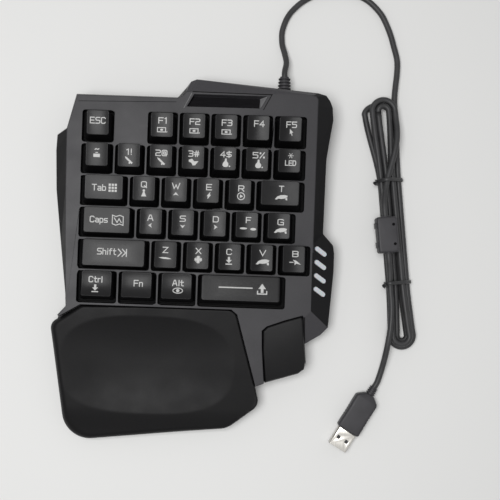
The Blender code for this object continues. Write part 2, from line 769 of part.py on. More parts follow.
def make_light_guide(deck):
    """Light guide: four slanted bars on one strip behind the flank."""
    top = -LIGHT_SKIN - SEAT_GAP
    bm = bmesh.new()
    prism_into(bm, light_strip(0.0), top - LIGHT_STRIP_THICKNESS, top)
    guide = finish_object("side_light_guide", bm, LIGHT_WHITE, deck)
    guide.matrix_local = flank_frame(LIGHT_FIRST_SHARE)
    bars = [(outline, top - LIGHT_STRIP_THICKNESS / 2, LIGHT_PROUD) for outline in light_outlines(0.0)]
    made = tool("light_bars", bars, deck)
    made.matrix_local = flank_frame(LIGHT_FIRST_SHARE)
    fuse(guide, made)
    return guide


def make_guide_frame(deck):
    """Guide frame: a tray with one chimney for each plunger."""
    bottom = -GUIDE_TOP - GUIDE_THICKNESS
    clear = PANEL_GAP
    bm = bmesh.new()
    prism_into(bm, tray_outline(clear), -STACK_TOP + SEAT_GAP, -DECK_THICKNESS - SEAT_GAP)
    frame = finish_object("key_guide_frame", bm, INNER_BLACK, deck)
    inner = tray_outline(clear + GUIDE_RIM)
    hollows = [(inner, -GUIDE_TOP, -DECK_THICKNESS + OVERRUN), (inner, -STACK_TOP - OVERRUN, bottom)]
    cut(frame, tool("guide_hollow_cut", hollows, deck))
    half = PLUNGER_SIZE / 2 + GUIDE_CLEARANCE
    chimneys = []
    holes = []
    for x, y, _, _, _ in key_places().values():
        wall = half + GUIDE_WALL
        outer = rectangle(x - wall, x + wall, y - wall, y + wall)
        chimneys.append((outer, bottom + GUIDE_THICKNESS / 2, -GUIDE_TOP + GUIDE_CHIMNEY))
        hole = rectangle(x - half, x + half, y - half, y + half)
        holes.append((hole, bottom - OVERRUN, -GUIDE_TOP + GUIDE_CHIMNEY + OVERRUN))
    fuse(frame, tool("guide_chimneys", chimneys, deck))
    cut(frame, tool("guide_hole_cut", holes, deck))
    return frame


def dome_tool(name, base_radius, top_radius, low, high, deck):
    """Tool of one blunt cone under each plunger."""
    bm = bmesh.new()
    for x, y, _, _, _ in key_places().values():
        base = ring(bm, circle(base_radius, DOME_SIDES, x, y), low)
        top = ring(bm, circle(top_radius, DOME_SIDES, x, y), high)
        stack(bm, [base, top])
    made = finish_object(name, bm, None, deck)
    hide_tool(made)
    return made


def make_dome_sheet(deck):
    """Silicone sheet with one hollow dome under each plunger."""
    outline = tray_outline(PANEL_GAP)
    low = -STACK_TOP - DOME_SHEET
    dome_top = -PLUNGER_BOTTOM - SEAT_GAP
    bm = bmesh.new()
    prism_into(bm, outline, low, -STACK_TOP)
    sheet = finish_object("dome_sheet", bm, DOME_WHITE, deck)
    fuse(sheet, dome_tool("domes", DOME_BASE_RADIUS, DOME_TOP_RADIUS, low + DOME_SHEET / 2, dome_top, deck))
    cut(sheet, dome_tool("dome_hollow_cut", DOME_BASE_RADIUS - DOME_SHEET, DOME_TOP_RADIUS - DOME_SHEET,
                         low - DOME_SHEET, dome_top - DOME_SHEET, deck))
    return sheet


def stack_levels():
    """Top and bottom of the membrane and of the back plate, below the domes."""
    membrane_top = -STACK_TOP - DOME_SHEET - SEAT_GAP
    membrane_low = membrane_top - MEMBRANE_THICKNESS
    plate_top = membrane_low - SEAT_GAP
    return membrane_top, membrane_low, plate_top, plate_top - PLATE_THICKNESS


def make_stack_sheets(deck):
    """Printed membrane and the steel plate under it."""
    membrane_top, membrane_low, plate_top, plate_low = stack_levels()
    outline = tray_outline(PANEL_GAP)
    made = []
    for name, low, high, finish in (("membrane_sheet", membrane_low, membrane_top, MEMBRANE_CLEAR),
                                    ("back_plate", plate_low, plate_top, PLATE_STEEL)):
        bm = bmesh.new()
        prism_into(bm, outline, low, high)
        made.append(finish_object(name, bm, finish, deck))
    return made


def palm_outline():
    """Outline of the palm rest."""
    return rounded(plans(PALM_CORNER_SHARES), PALM_RADII, PALM_CORNER_STEPS)


def belly_outline():
    """Outline of the lower case: the flank's foot, the thumb rest and the palm rest."""
    foot = [plan(c, d) for _, _, c, d, _ in CASE_EDGE_SHARES]
    thumb = plans(THUMB_CORNER_SHARES)
    palm = palm_outline()
    per_corner = PALM_CORNER_STEPS + 1
    points = foot[BELLY_FIRST:] + foot[:BELLY_LAST + 1]
    points += [thumb[8], thumb[7], thumb[6], foot[24], foot[25]]
    points += palm[per_corner:5 * per_corner][::-1]
    return points


def make_bottom_case(desk, deck):
    """Lower case: a tray under the whole outline, with its bosses, seats and pockets."""
    outline = belly_outline()
    bm = bmesh.new()
    belly = towards(outline, (0.0, 0.0), 1.0 - BELLY_SHARE)
    under = ring(bm, belly, ground_level(GROUND_CLEARANCE))
    turn = ring(bm, outline, ground_level(GROUND_CLEARANCE + BELLY_RISE))
    rim = ring(bm, outline, -PARTING_DEPTH - SEAT_GAP / 2)
    stack(bm, [under, turn, rim])
    case = finish_object("bottom_case", bm, SHELL_BLACK, deck)

    floor = ground_level(GROUND_CLEARANCE + FLOOR_THICKNESS)
    palm_room = towards(palm_outline(), plan(*PALM_CENTRE_SHARES), PALM_ROOM_SHARE)
    cut(case, tool("bottom_room_cut", [(room_outline(), floor, OVERRUN), (palm_room, floor, OVERRUN)], deck))
    add_bosses(case, deck)
    add_tilt_pockets(case, desk)
    cut_foot_seats(case, desk)
    cut_relief_hole(case, desk)
    return case


def boss_places():
    """Places of the bosses that carry the back plate."""
    left, right = FIELD_LEFT, FIELD_RIGHT
    for across in BOSS_COLUMN_SHARES:
        for along in BOSS_ROW_SHARES:
            yield left + across * (right - left), FIELD_FRONT + along * FIELD_DEPTH


def board_outline():
    """Outline of the controller board in its bay."""
    return bay_outline(BOARD_MARGIN)


def add_bosses(case, deck):
    """Fuse the bosses under the back plate and the posts under the controller board."""
    plate_low = stack_levels()[3] - SEAT_GAP
    bm = bmesh.new()
    root = ground_level(GROUND_CLEARANCE + FLOOR_THICKNESS / 2)
    for x, y in boss_places():
        outline = circle(BOSS_RADIUS, 8, x, y)
        stack(bm, [ring(bm, outline, root), ring(bm, outline, plate_low)])
    board_low = -BOARD_DEPTH_BELOW_DECK - BOARD_THICKNESS
    board = board_outline()
    (left, front), (right, rear) = board[0], board[2]
    for share in BOARD_POST_SHARES:
        outline = circle((rear - front) / 3, 8, left + share * (right - left), (front + rear) / 2)
        stack(bm, [ring(bm, outline, root), ring(bm, outline, board_low - SEAT_GAP)])
    made = finish_object("case_bosses", bm, None, deck)
    hide_tool(made)
    fuse(case, made)


def tilt_foot_places():
    """Hinge places of the two fold-out feet in the desk frame."""
    height = GROUND_CLEARANCE + TILT_FOOT_CLEARANCE / 2 + TILT_FOOT_THICKNESS / 2
    for side in (-1, 1):
        yield side, (side * TILT_FOOT_SHARE * CASE_WIDTH, TILT_REAR_SHARE * CASE_DEPTH, height)


def add_tilt_pockets(case, desk):
    """Fuse a housing over each fold-out foot, then cut its pocket and pin holes."""
    half = TILT_FOOT_WIDTH / 2 + TILT_FOOT_CLEARANCE
    reach = TILT_FOOT_THICKNESS / 2 + TILT_FOOT_CLEARANCE
    roof = GROUND_CLEARANCE + TILT_FOOT_THICKNESS + 2 * TILT_FOOT_CLEARANCE
    housings, pockets, pins = [], [], []
    for _, (x, y, z) in tilt_foot_places():
        front = y - TILT_FOOT_LENGTH - TILT_FOOT_CLEARANCE
        pockets.append((rectangle(x - half, x + half, front, y + reach), -OVERRUN, roof))
        wall = TILT_POCKET_WALL
        outer = rectangle(x - half - wall, x + half + wall, front - wall, y + reach + wall)
        housings.append((outer, GROUND_CLEARANCE + FLOOR_THICKNESS / 2, roof + wall))
        pins.append((x, y, z))
    fuse(case, tool("tilt_housings", housings, desk))
    cut(case, tool("tilt_pocket_cut", pockets, desk))
    cut(case, pin_tool("tilt_pin_cut", pins, TILT_PIN_RADIUS + TILT_PIN_CLEARANCE,
                       half + TILT_PIN_LENGTH + TILT_PIN_CLEARANCE, desk))


def pin_tool(name, places, radius, half_length, parent):
    """Tool of cylinders that lie along X."""
    bm = bmesh.new()
    for x, y, z in places:
        outline = circle(radius, 8)
        rings = []
        for end in (-half_length, half_length):
            rings.append([bm.verts.new((x + end, y + a, z + b)) for a, b in outline])
        stack(bm, rings)
    made = finish_object(name, bm, None, parent)
    hide_tool(made)
    return made


def make_tilt_feet(desk):
    """Two fold-out feet, each with its hinge barrel and pins on the hinge axis."""
    made = []
    for side, place in tilt_foot_places():
        half = TILT_FOOT_WIDTH / 2
        radius = TILT_FOOT_THICKNESS / 2
        bm = bmesh.new()
        slant = radius / math.sqrt(2)
        profile = [(-TILT_FOOT_LENGTH, -radius), (0.0, -radius), (slant, -slant), (radius, 0.0),
                   (slant, slant), (0.0, radius), (-TILT_FOOT_LENGTH + radius, radius),
                   (-TILT_FOOT_LENGTH, 0.0)]
        rings = [[bm.verts.new((end, y, z)) for y, z in profile] for end in (-half, half)]
        stack(bm, rings)
        foot = finish_object("tilt_foot_left" if side < 0 else "tilt_foot_right", bm, SHELL_BLACK, desk)
        foot.location = place
        reach = half + TILT_PIN_LENGTH
        pins = pin_tool(foot.name + "_pins", [(0.0, 0.0, 0.0)], TILT_PIN_RADIUS, reach, foot)
        fuse(foot, pins)
        made.append(foot)
    return made


def rubber_foot_places():
    """Names and places of the four rubber feet in the desk frame."""
    rear_x, rear_y = REAR_FOOT_SHARES[0] * CASE_WIDTH, REAR_FOOT_SHARES[1] * CASE_DEPTH
    yield "rubber_foot_rear_left", -rear_x, rear_y
    yield "rubber_foot_rear_right", rear_x, rear_y
    x_share, y_share = FRONT_FOOT_LEFT_SHARES
    yield "rubber_foot_front_left", x_share * CASE_WIDTH, y_share * CASE_DEPTH
    x_share, y_share = FRONT_FOOT_RIGHT_SHARES
    yield "rubber_foot_front_right", x_share * CASE_WIDTH, y_share * CASE_DEPTH


def foot_outline(grow):
    """Outline of a rubber foot, grown by a clearance."""
    return stadium(FOOT_LENGTH + 2 * grow, FOOT_WIDTH + 2 * grow, FOOT_CORNER_STEPS)


def cut_foot_seats(case, desk):
    """Cut the shallow seats of the rubber feet and the screws into the underside."""
    seats = []
    for x_share, y_share in SCREW_SEAT_SHARES:
        outline = circle(SCREW_SEAT_RADIUS, SCREW_SEAT_SIDES, x_share * CASE_WIDTH, y_share * CASE_DEPTH)
        seats.append((outline, -OVERRUN, GROUND_CLEARANCE + SCREW_SEAT_DEPTH))
    roof = GROUND_CLEARANCE + FOOT_RECESS
    for _, x, y in rubber_foot_places():
        seats.append((moved(foot_outline(SEAT_GAP), x, y), -OVERRUN, roof))
    cut(case, tool("foot_seat_cut", seats, desk))


def make_rubber_feet(desk):
    """Four rubber feet that stand on the desk."""
    made = []
    top = GROUND_CLEARANCE + FOOT_RECESS - SEAT_GAP
    for name, x, y in rubber_foot_places():
        bm = bmesh.new()
        prism_into(bm, foot_outline(0.0), 0.0, top)
        foot = finish_object(name, bm, FOOT_RUBBER, desk)
        foot.location = (x, y, 0.0)
        made.append(foot)
    return made


def make_controller_board(deck):
    """Controller board in the rear bay."""
    bm = bmesh.new()
    low = -BOARD_DEPTH_BELOW_DECK - BOARD_THICKNESS
    prism_into(bm, board_outline(), low, -BOARD_DEPTH_BELOW_DECK)
    return finish_object("controller_board", bm, BOARD_GREEN, deck)


def make_palm_rest(deck):
    """Palm rest: a crowned cover with a shallow dish, hollow below."""
    outline = palm_outline()
    centre = plan(*PALM_CENTRE_SHARES)
    rear = plan(*PALM_CORNER_SHARES[0])[1]
    front = plan(*PALM_CORNER_SHARES[2])[1]

    def crown(y):
        return -PALM_REAR_DROP - PALM_FALL * (rear - y) / (rear - front)

    bm = bmesh.new()
    base_level = -PARTING_DEPTH + SEAT_GAP / 2
    base = ring(bm, outline, base_level)
    rings = [base]
    for inward, rounding, dish in PALM_RINGS:
        points = towards(outline, centre, inward)
        rings.append(ring(bm, points, lambda x, y: crown(y) - PALM_ROUND * rounding - PALM_DISH * dish))
    stack(bm, rings, closed=False)
    middle = bm.verts.new((centre[0], centre[1], crown(centre[1]) - PALM_DISH))
    last = rings[-1]
    for index, vert in enumerate(last):
        bm.faces.new((vert, last[(index + 1) % len(last)], middle))
    inward = 2 * PALM_WALL / FIELD_DEPTH
    inner = towards(outline, centre, inward)
    inner_base = ring(bm, inner, base_level)
    inner_top = ring(bm, inner, lambda x, y: crown(y) - PALM_DISH - PALM_ROOF)
    stack(bm, [base, inner_base, inner_top], closed=False)
    bm.faces.new(inner_top)
    return finish_object("palm_rest", bm, PALM_BLACK, deck)


def make_thumb_rest(deck):
    """Thumb rest: a flat cover beside the palm rest, eased where it meets the outside."""
    corners = plans(THUMB_CORNER_SHARES)
    rear = corners[0][1]
    front = corners[5][1]
    middle = (sum(x for x, _ in corners) / len(corners), sum(y for _, y in corners) / len(corners))

    def crown(_, y):
        return -THUMB_DROP - THUMB_FALL * (rear - y) / (rear - front)

    def eased(index, level):
        return level - (THUMB_EDGE if index in THUMB_RIM_CORNERS else 0.0)

    drawn = towards(corners, middle, 2 * THUMB_EDGE / (rear - front))
    bm = bmesh.new()
    base = ring(bm, corners, -PARTING_DEPTH + SEAT_GAP / 2)
    edge = [bm.verts.new((x, y, eased(index, crown(x, y) - THUMB_EDGE / 2)))
            for index, (x, y) in enumerate(corners)]
    top = ring(bm, drawn, crown)
    stack(bm, [base, edge, top])
    return finish_object("thumb_rest", bm, PALM_BLACK, deck)


def rear_walls():
    """Place of the cable's hole over the desk: across, inner wall and outer wall."""
    left = Vector(plan(*CASE_EDGE_SHARES[4][2:4]))
    right = Vector(plan(*CASE_EDGE_SHARES[5][2:4]))
    x = FIELD_LEFT + RELIEF_SHARE * FIELD_WIDTH
    outer = left.lerp(right, (x - left.x) / (right.x - left.x)).y
    inner = plan(BAY_LEFT_SHARE, BAY_REAR_SHARE)[1]
    lean = (DECK_HEIGHT - RELIEF_HEIGHT) * math.sin(DECK_SLOPE)
    return x, inner + lean, outer + lean


def turned_into(bm, profile, sides, place, direction):
    """Turn a profile of length and radius pairs about an axis into a closed solid."""
    turn = Vector((0.0, 0.0, 1.0)).rotation_difference(Vector(direction)).to_matrix()
    rings = []
    for length, radius in profile:
        points = [turn @ Vector((x, y, length)) + Vector(place) for x, y in circle(radius, sides)]
        rings.append([bm.verts.new(point) for point in points])
    stack(bm, rings)


def cut_relief_hole(case, desk):
    """Cut the cable hole through the rear wall."""
    x, inner, outer = rear_walls()
    bm = bmesh.new()
    radius = RELIEF_NECK_RADIUS + SEAT_GAP
    profile = [(0.0, radius), (outer - inner + 2 * RELIEF_LENGTH, radius)]
    turned_into(bm, profile, RELIEF_SIDES, (x, inner - RELIEF_LENGTH, RELIEF_HEIGHT), (0.0, 1.0, 0.0))
    made = finish_object("relief_cut", bm, None, desk)
    hide_tool(made)
    cut(case, made)


def make_strain_relief(desk):
    """Strain relief: a flange inside the wall, a neck through it and ribs outside."""
    x, inner, outer = rear_walls()
    start = inner - 2 * SEAT_GAP - RELIEF_FLANGE
    wall_end = outer - start + RELIEF_WALL_GAP
    profile = [(0.0, RELIEF_FLANGE_RADIUS), (RELIEF_FLANGE, RELIEF_FLANGE_RADIUS),
               (RELIEF_FLANGE + SEAT_GAP / 2, RELIEF_NECK_RADIUS), (wall_end, RELIEF_NECK_RADIUS)]
    step = RELIEF_LENGTH / RELIEF_RIBS
    for rib in range(RELIEF_RIBS):
        shrink = (RELIEF_RADIUS - RELIEF_NECK_RADIUS) * rib / RELIEF_RIBS
        radii = (RELIEF_RADIUS - shrink, RELIEF_RADIUS - shrink, RELIEF_GROOVE_RADIUS, RELIEF_GROOVE_RADIUS)
        profile += [(wall_end + (rib + share) * step, radius)
                    for share, radius in zip(RELIEF_RIB_SHARES, radii)]
    bm = bmesh.new()
    turned_into(bm, profile, RELIEF_SIDES, (x, start, RELIEF_HEIGHT), (0.0, 1.0, 0.0))
    made = finish_object("strain_relief", bm, CORD_BLACK, desk)
    tip = start + profile[-1][0]
    return made, Vector((x, tip, RELIEF_HEIGHT))


def smooth_route(route, spacing):
    """Points of a cable: its straight ends, and between them a smooth curve at even spacing."""
    knots = [Vector(point) for point in route]
    headings = [(after - before).normalized() for before, after in zip(knots, knots[2:])]
    headings[0] = (knots[1] - knots[0]).normalized()
    headings[-1] = (knots[-1] - knots[-2]).normalized()
    fine = []
    for start, end, leaving, arriving in zip(knots[1:], knots[2:-1], headings, headings[1:]):
        reach = (end - start).length
        count = math.ceil(reach / spacing * 4)
        for step in range(count):
            t = step / count
            fine.append(start * (2 * t ** 3 - 3 * t ** 2 + 1) + leaving * reach * (t ** 3 - 2 * t ** 2 + t)
                        + end * (3 * t ** 2 - 2 * t ** 3) + arriving * reach * (t ** 3 - t ** 2))
    fine.append(knots[-2])
    lengths = [0.0]
    for a, b in zip(fine, fine[1:]):
        lengths.append(lengths[-1] + (b - a).length)
    count = max(2, round(lengths[-1] / spacing))
    picked = []
    index = 0
    for step in range(count + 1):
        goal = lengths[-1] * step / count
        while index < len(fine) - 2 and lengths[index + 1] < goal:
            index += 1
        span = lengths[index + 1] - lengths[index]
        share = (goal - lengths[index]) / span if span > 0.0 else 0.0
        picked.append(fine[index].lerp(fine[index + 1], min(share, 1.0)))
    return [knots[0]] + picked + [knots[-1]]


def make_tube(name, points, resolution, parent):
    """Cable along points, as a bevelled curve with filled ends."""
    curve = bpy.data.curves.new(name, "CURVE")
    curve.dimensions = "3D"
    curve.bevel_depth = CORD_RADIUS
    curve.bevel_resolution = resolution
    curve.use_fill_caps = True
    spline = curve.splines.new("POLY")
    spline.points.add(len(points) - 1)
    for point, place in zip(spline.points, points):
        point.co = (*place, 1.0)
    curve.materials.append(material(CORD_BLACK))
    made = bpy.data.objects.new(name, curve)
    bpy.context.scene.collection.objects.link(made)
    made.parent = parent
    return made


def hank_frame():
    """Frame of the hank over the desk: X across the hank and Y along it."""
    return Matrix.Translation((*HANK_CENTRE, 0.0)) @ Matrix.Rotation(HANK_TURN, 4, "Z")


def between(value, start, end):
    """How far a value is on its way from a start to an end, as a share."""
    return (value - start) / (end - start)


def ease(value):
    """Smooth step from 0 to 1."""
    share = min(max(value, 0.0), 1.0)
    return share * share * (3.0 - 2.0 * share)


def hank_half_width(along):
    """Half width of the outermost loop by place along the hank: drawn in at the ties."""
    upper, lower = TIE_PLACES
    outside = max(along - upper, lower - along)
    bulge = ease(outside / (HANK_STRAIGHT - upper))
    return HANK_WAIST + (HANK_LOBE - HANK_WAIST) * bulge


def hank_layer_height(turn):
    """Height of the cable by loops run: it climbs a layer in the middle half turn."""
    climb = ease((turn - HANK_LOOPS / 2 + 0.25) / 0.5)
    return HANK_BASE + HANK_STRAND_PITCH * climb


def hank_point(turn):
    """Place of the cable after a number of loops, in the hank's frame."""
    inset = HANK_STRAND_PITCH * (HANK_LOOPS / 2 - abs(turn - HANK_LOOPS / 2))
    arc_share = HANK_ARC_POINTS / HANK_LOOP_POINTS / 2
    run_share = 0.25 - arc_share
    phase = (turn + 0.25) % 1.0 - 0.25
    side = 1.0 if phase < 0.25 else -1.0
    local = phase if phase < 0.25 else phase - 0.5
    if abs(local) <= run_share:
        along = -side * HANK_STRAIGHT * local / run_share
        across = side * (hank_half_width(along) - inset)
        return Vector((across, along, hank_layer_height(turn)))
    end = -side if local > 0.0 else side
    angle = (abs(local) - run_share) / (2 * arc_share) * math.pi
    radius = HANK_LOBE - inset
    across = side * radius * math.cos(angle)
    along = end * (HANK_STRAIGHT + radius * math.sin(angle))
    return Vector((across, along, hank_layer_height(turn)))


def ferrite_centre():
    """Centre of the ferrite in the hank's frame: it lies on the upper layer."""
    x, y = FERRITE_PLACE
    top_of_strands = HANK_BASE + HANK_STRAND_PITCH + CORD_RADIUS
    return Vector((x, y, top_of_strands + 2 * SEAT_GAP + FERRITE_SIZE[2] / 2))


def hank_points():
    """The hank's whole run: its loops, then over the bundle to the ferrite."""
    start = -0.25 + HANK_ARC_POINTS / HANK_LOOP_POINTS / 2
    count = HANK_LOOPS * HANK_LOOP_POINTS
    points = [hank_point(start + index / HANK_LOOP_POINTS) for index in range(count + 1)]
    centre = ferrite_centre()
    entry = Vector((centre.x, centre.y + FERRITE_SIZE[1] / 2 + SEAT_GAP, centre.z))
    straight = entry + Vector((0.0, CORD_DIAMETER, 0.0))
    leave = points[-1]
    for index in range(1, HANK_CROSSING_POINTS):
        share = index / HANK_CROSSING_POINTS
        along = leave.y + (straight.y - leave.y) * share
        across = leave.x + (straight.x - leave.x) * ease(between(share, HANK_CROSSING_SHARE, 1.0))
        lifted = leave.z + HANK_STRAND_PITCH * ease(between(share, 0.0, HANK_LIFTED_SHARE))
        rise = straight.z - leave.z - HANK_STRAND_PITCH
        height = lifted + rise * ease(between(share, HANK_RISE_SHARE, 1.0))
        points.append(Vector((across, along, height)))
    return points + [straight, entry]


def least_gap(points):
    """Least gap of a tube to itself between stretches over two diameters apart along it."""
    fine = []
    run = 0.0
    for a, b in zip(points, points[1:]):
        steps = math.ceil((b - a).length / CORD_RADIUS)
        fine += [(run + (b - a).length * step / steps, a.lerp(b, step / steps)) for step in range(steps)]
        run += (b - a).length
    gaps = [(here - other).length for index, (at, here) in enumerate(fine)
            for after, other in fine[index + 1:] if after - at > 2 * CORD_DIAMETER]
    return min(gaps) - CORD_DIAMETER


def make_cables(desk, relief_tip):
    """The lead, the tied hank and the tail, each one unbroken tube."""
    frame = hank_frame()
    hank = [frame @ point for point in hank_points()]
    start = relief_tip + Vector((0.0, SEAT_GAP, 0.0))
    meet = hank[0] + (hank[0] - hank[1]).normalized() * SEAT_GAP
    straight = meet + (hank[0] - hank[1]).normalized() * CORD_DIAMETER
    route = [start, start + Vector((0.0, CORD_DIAMETER, 0.0))]
    route += [Vector(point) for point in LEAD_ROUTE[1:-1]] + [straight, meet]
    spacing = 2.6 * CORD_DIAMETER
    make_tube("cable_lead", smooth_route(route, spacing), CORD_SIDES_RESOLUTION, desk)
    make_tube("cable_hank", hank, HANK_SIDES_RESOLUTION, desk)

    centre = ferrite_centre()
    leave = Vector((centre.x, centre.y - FERRITE_SIZE[1] / 2 - SEAT_GAP, centre.z))
    plug = plug_frame()
    neck = plug @ Vector((0.0, SEAT_GAP, 0.0))
    approach = plug @ Vector((0.0, SEAT_GAP + CORD_DIAMETER, 0.0))
    tail = [frame @ leave, frame @ (leave - Vector((0.0, CORD_DIAMETER, 0.0)))]
    tail += [frame @ Vector(point) for point in TAIL_ROUTE] + [approach, neck]
    make_tube("cable_tail", smooth_route(tail, spacing), CORD_SIDES_RESOLUTION, desk)
    print("least gap of the hank to itself, mm:", round(least_gap(hank_points()) * 1000, 2))


def make_ferrite(desk):
    """Ferrite choke that lies on the hank, with eased edges."""
    width, length, thickness = FERRITE_SIZE
    centre = ferrite_centre()
    bm = bmesh.new()
    full = rounded_box(width, length, FERRITE_BEVEL, 2)
    drawn = rounded_box(width - 2 * FERRITE_BEVEL, length - FERRITE_BEVEL, FERRITE_BEVEL, 2)
    half = thickness / 2
    levels = [(drawn, -half), (full, FERRITE_BEVEL - half), (full, half - FERRITE_BEVEL), (drawn, half)]
    stack(bm, [ring(bm, outline, level) for outline, level in levels])
    made = finish_object("ferrite_choke", bm, CORD_BLACK, desk)
    made.matrix_local = hank_frame() @ Matrix.Translation(centre)
    return made


def tie_outline(along, gap):
    """Outline of a band drawn round the strands at a place along the hank."""
    spots = []
    tail = [Vector(point) for point in TAIL_ROUTE]
    for strand in (hank_points(), tail):
        for a, b in zip(strand, strand[1:]):
            steps = math.ceil((b - a).length / CORD_RADIUS)
            run = [a.lerp(b, step / steps) for step in range(steps + 1)]
            spots += [(spot.x, spot.z) for spot in run if abs(spot.y - along) < TIE_WIDTH]
    outline = []
    for cosine, sine in circle(1.0, TIE_SIDES):
        x, z = max(spots, key=lambda spot: spot[0] * cosine + spot[1] * sine)
        outline.append((x + gap * cosine, z + gap * sine))
    return outline


def make_ties(desk):
    """Two ties round the hank, each a closed band."""
    made = []
    for name, along in zip(("tie_upper", "tie_lower"), TIE_PLACES):
        inside = CORD_RADIUS + SEAT_GAP
        outside = inside + TIE_THICKNESS
        bm = bmesh.new()
        rings = []
        for gap, end in ((inside, -1), (inside, 1), (outside, 1), (outside, -1)):
            y = along + end * TIE_WIDTH / 2
            rings.append([bm.verts.new((x, y, z)) for x, z in tie_outline(along, gap)])
        for index, here in enumerate(rings):
            bridge(bm, here, rings[(index + 1) % len(rings)])
        tie = finish_object(name, bm, FOOT_RUBBER, desk)
        tie.matrix_local = hank_frame()
        made.append(tie)
    return made


def plug_frame():
    """Frame of the plug: its axis runs from the neck along -Y."""
    return Matrix.Translation((*PLUG_START, PLUG_HEIGHT)) @ Matrix.Rotation(PLUG_TURN, 4, "Z")


def upright(points, along):
    """Stand an outline up across the plug's axis at a place along it."""
    return [(x, -along, z) for x, z in points]


def make_plug(desk):
    """Plug: a moulded grip with a ringed neck and a tongue, and its metal shell."""
    bm = bmesh.new()
    steps = 3
    sides = 4 * (steps + 1)
    neck = [(x, z) for x, z in circle(PLUG_NECK_RADIUS, sides)]
    shift = sides // 2 + sides // 8
    neck = neck[shift:] + neck[:shift]
    stations = []
    groove = PLUG_NECK_LENGTH / (2 * PLUG_NECK_RINGS + 1)
    for index in range(2 * PLUG_NECK_RINGS + 1):
        drawn = PLUG_GROOVE_SHARE if index % 2 else 1.0
        outline = [(x * drawn, z * drawn) for x, z in neck]
        stations.append((outline, index * groove))
        stations.append((outline, (index + PLUG_RING_SHARE) * groove))
    body = rounded_box(PLUG_BODY_WIDTH, PLUG_BODY_THICKNESS, PLUG_BODY_RADIUS, steps)
    across_share, up_share = PLUG_SHOULDER_SHARES
    shoulder = rounded_box(PLUG_BODY_WIDTH * across_share, PLUG_BODY_THICKNESS * up_share,
                           PLUG_BODY_RADIUS, steps)
    narrow = rounded_box(PLUG_BODY_WIDTH * PLUG_END_SHARE, PLUG_BODY_THICKNESS * PLUG_END_SHARE,
                         PLUG_BODY_RADIUS, steps)
    start = PLUG_NECK_LENGTH
    end = start + PLUG_BODY_LENGTH
    stations += [(shoulder, start + groove / 2), (narrow, start + PLUG_SHOULDER),
                 (body, start + 2 * PLUG_SHOULDER), (body, end - PLUG_SHOULDER / 4), (narrow, end)]
    rings = [[bm.verts.new(point) for point in upright(outline, along)] for outline, along in stations]
    stack(bm, rings)
    grip = finish_object("usb_plug_body", bm, CORD_BLACK, desk)
    grip.matrix_local = plug_frame()
    fuse(grip, tongue_tool(desk, end))

    bm = bmesh.new()
    mouth = end + SEAT_GAP
    rings = []
    for wall, along in ((0.0, mouth), (0.0, mouth + SHELL_LENGTH), (SHELL_WALL, mouth + SHELL_LENGTH),
                        (SHELL_WALL, mouth)):
        outline = rounded_box(SHELL_WIDTH - 2 * wall, SHELL_THICKNESS - 2 * wall, SHELL_WALL * 2 - wall, 1)
        rings.append([bm.verts.new(point) for point in upright(outline, along)])
    for index, here in enumerate(rings):
        bridge(bm, here, rings[(index + 1) % len(rings)])
    shell = finish_object("usb_shell", bm, PLUG_METAL, desk)
    shell.matrix_local = plug_frame()
    cut(shell, shell_hole_tool(desk, mouth))
    return grip, shell


def tongue_tool(desk, end):
    """The tongue that carries the contacts inside the shell."""
    room = SHELL_WIDTH / 2 - SHELL_WALL - SEAT_GAP
    low = -SHELL_THICKNESS / 2 + SHELL_WALL + SEAT_GAP
    outline = rectangle(-room, room, -end - SHELL_LENGTH * TONGUE_LENGTH_SHARE, -end + OVERRUN)
    made = tool("plug_tongue", [(outline, low, low + TONGUE_THICKNESS)], desk)
    made.matrix_local = plug_frame()
    return made


def shell_hole_tool(desk, mouth):
    """The two square holes through the shell's upper wall."""
    y = -(mouth + SHELL_LENGTH * SHELL_HOLE_PLACE_SHARE)
    holes = []
    for side in (-1, 1):
        x = side * SHELL_HOLE_SPACING / 2
        half = SHELL_HOLE / 2
        holes.append((rectangle(x - half, x + half, y - half, y + half),
                      SHELL_THICKNESS / 2 - 2 * SHELL_WALL, SHELL_THICKNESS / 2 + OVERRUN))
    made = tool("shell_hole_cut", holes, desk)
    made.matrix_local = plug_frame()
    return made


def centre_on_footprint(desk, pieces):
    """Shift the desk frame so that the keyboard's bounding box is centred on the origin."""
    bpy.context.view_layer.update()
    graph = bpy.context.evaluated_depsgraph_get()
    corners = []
    for piece in pieces:
        seen = piece.evaluated_get(graph)
        corners += [seen.matrix_world @ vert.co for vert in seen.data.vertices]
    middle_x = (min(c.x for c in corners) + max(c.x for c in corners)) / 2
    middle_y = (min(c.y for c in corners) + max(c.y for c in corners)) / 2
    desk.location = (-middle_x, -middle_y, 0.0)


def main():
    """Build every piece."""
    for old in list(bpy.data.objects):
        bpy.data.objects.remove(old, do_unlink=True)
    desk, deck = make_frames()
    shells = [make_top_case(deck), make_bottom_case(desk, deck), make_palm_rest(deck), make_thumb_rest(deck)]
    make_light_guide(deck)
    make_guide_frame(deck)
    make_dome_sheet(deck)
    make_stack_sheets(deck)
    make_controller_board(deck)
    for name, place in key_places().items():
        make_keycap(name, place, deck)
    make_tilt_feet(desk)
    make_rubber_feet(desk)
    _, relief_tip = make_strain_relief(desk)
    make_cables(desk, relief_tip)
    make_ferrite(desk)
    make_ties(desk)
    make_plug(desk)
    centre_on_footprint(desk, shells)


main()
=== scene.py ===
"""Looks of the one-handed keyboard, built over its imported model.

Lengths are in metres, +Z is up and +Y points away from the user. Each piece sits where
its CAD node sits, and rides on that node's body. Deck coordinates belong to the tilted
key deck, whose top face is z = 0 there. Desk coordinates are level with the desk.
"""

import logging
import math
from dataclasses import dataclass
from enum import Enum, IntEnum
from typing import Callable, Sequence

import bmesh
import bpy
from mathutils import Matrix, Vector


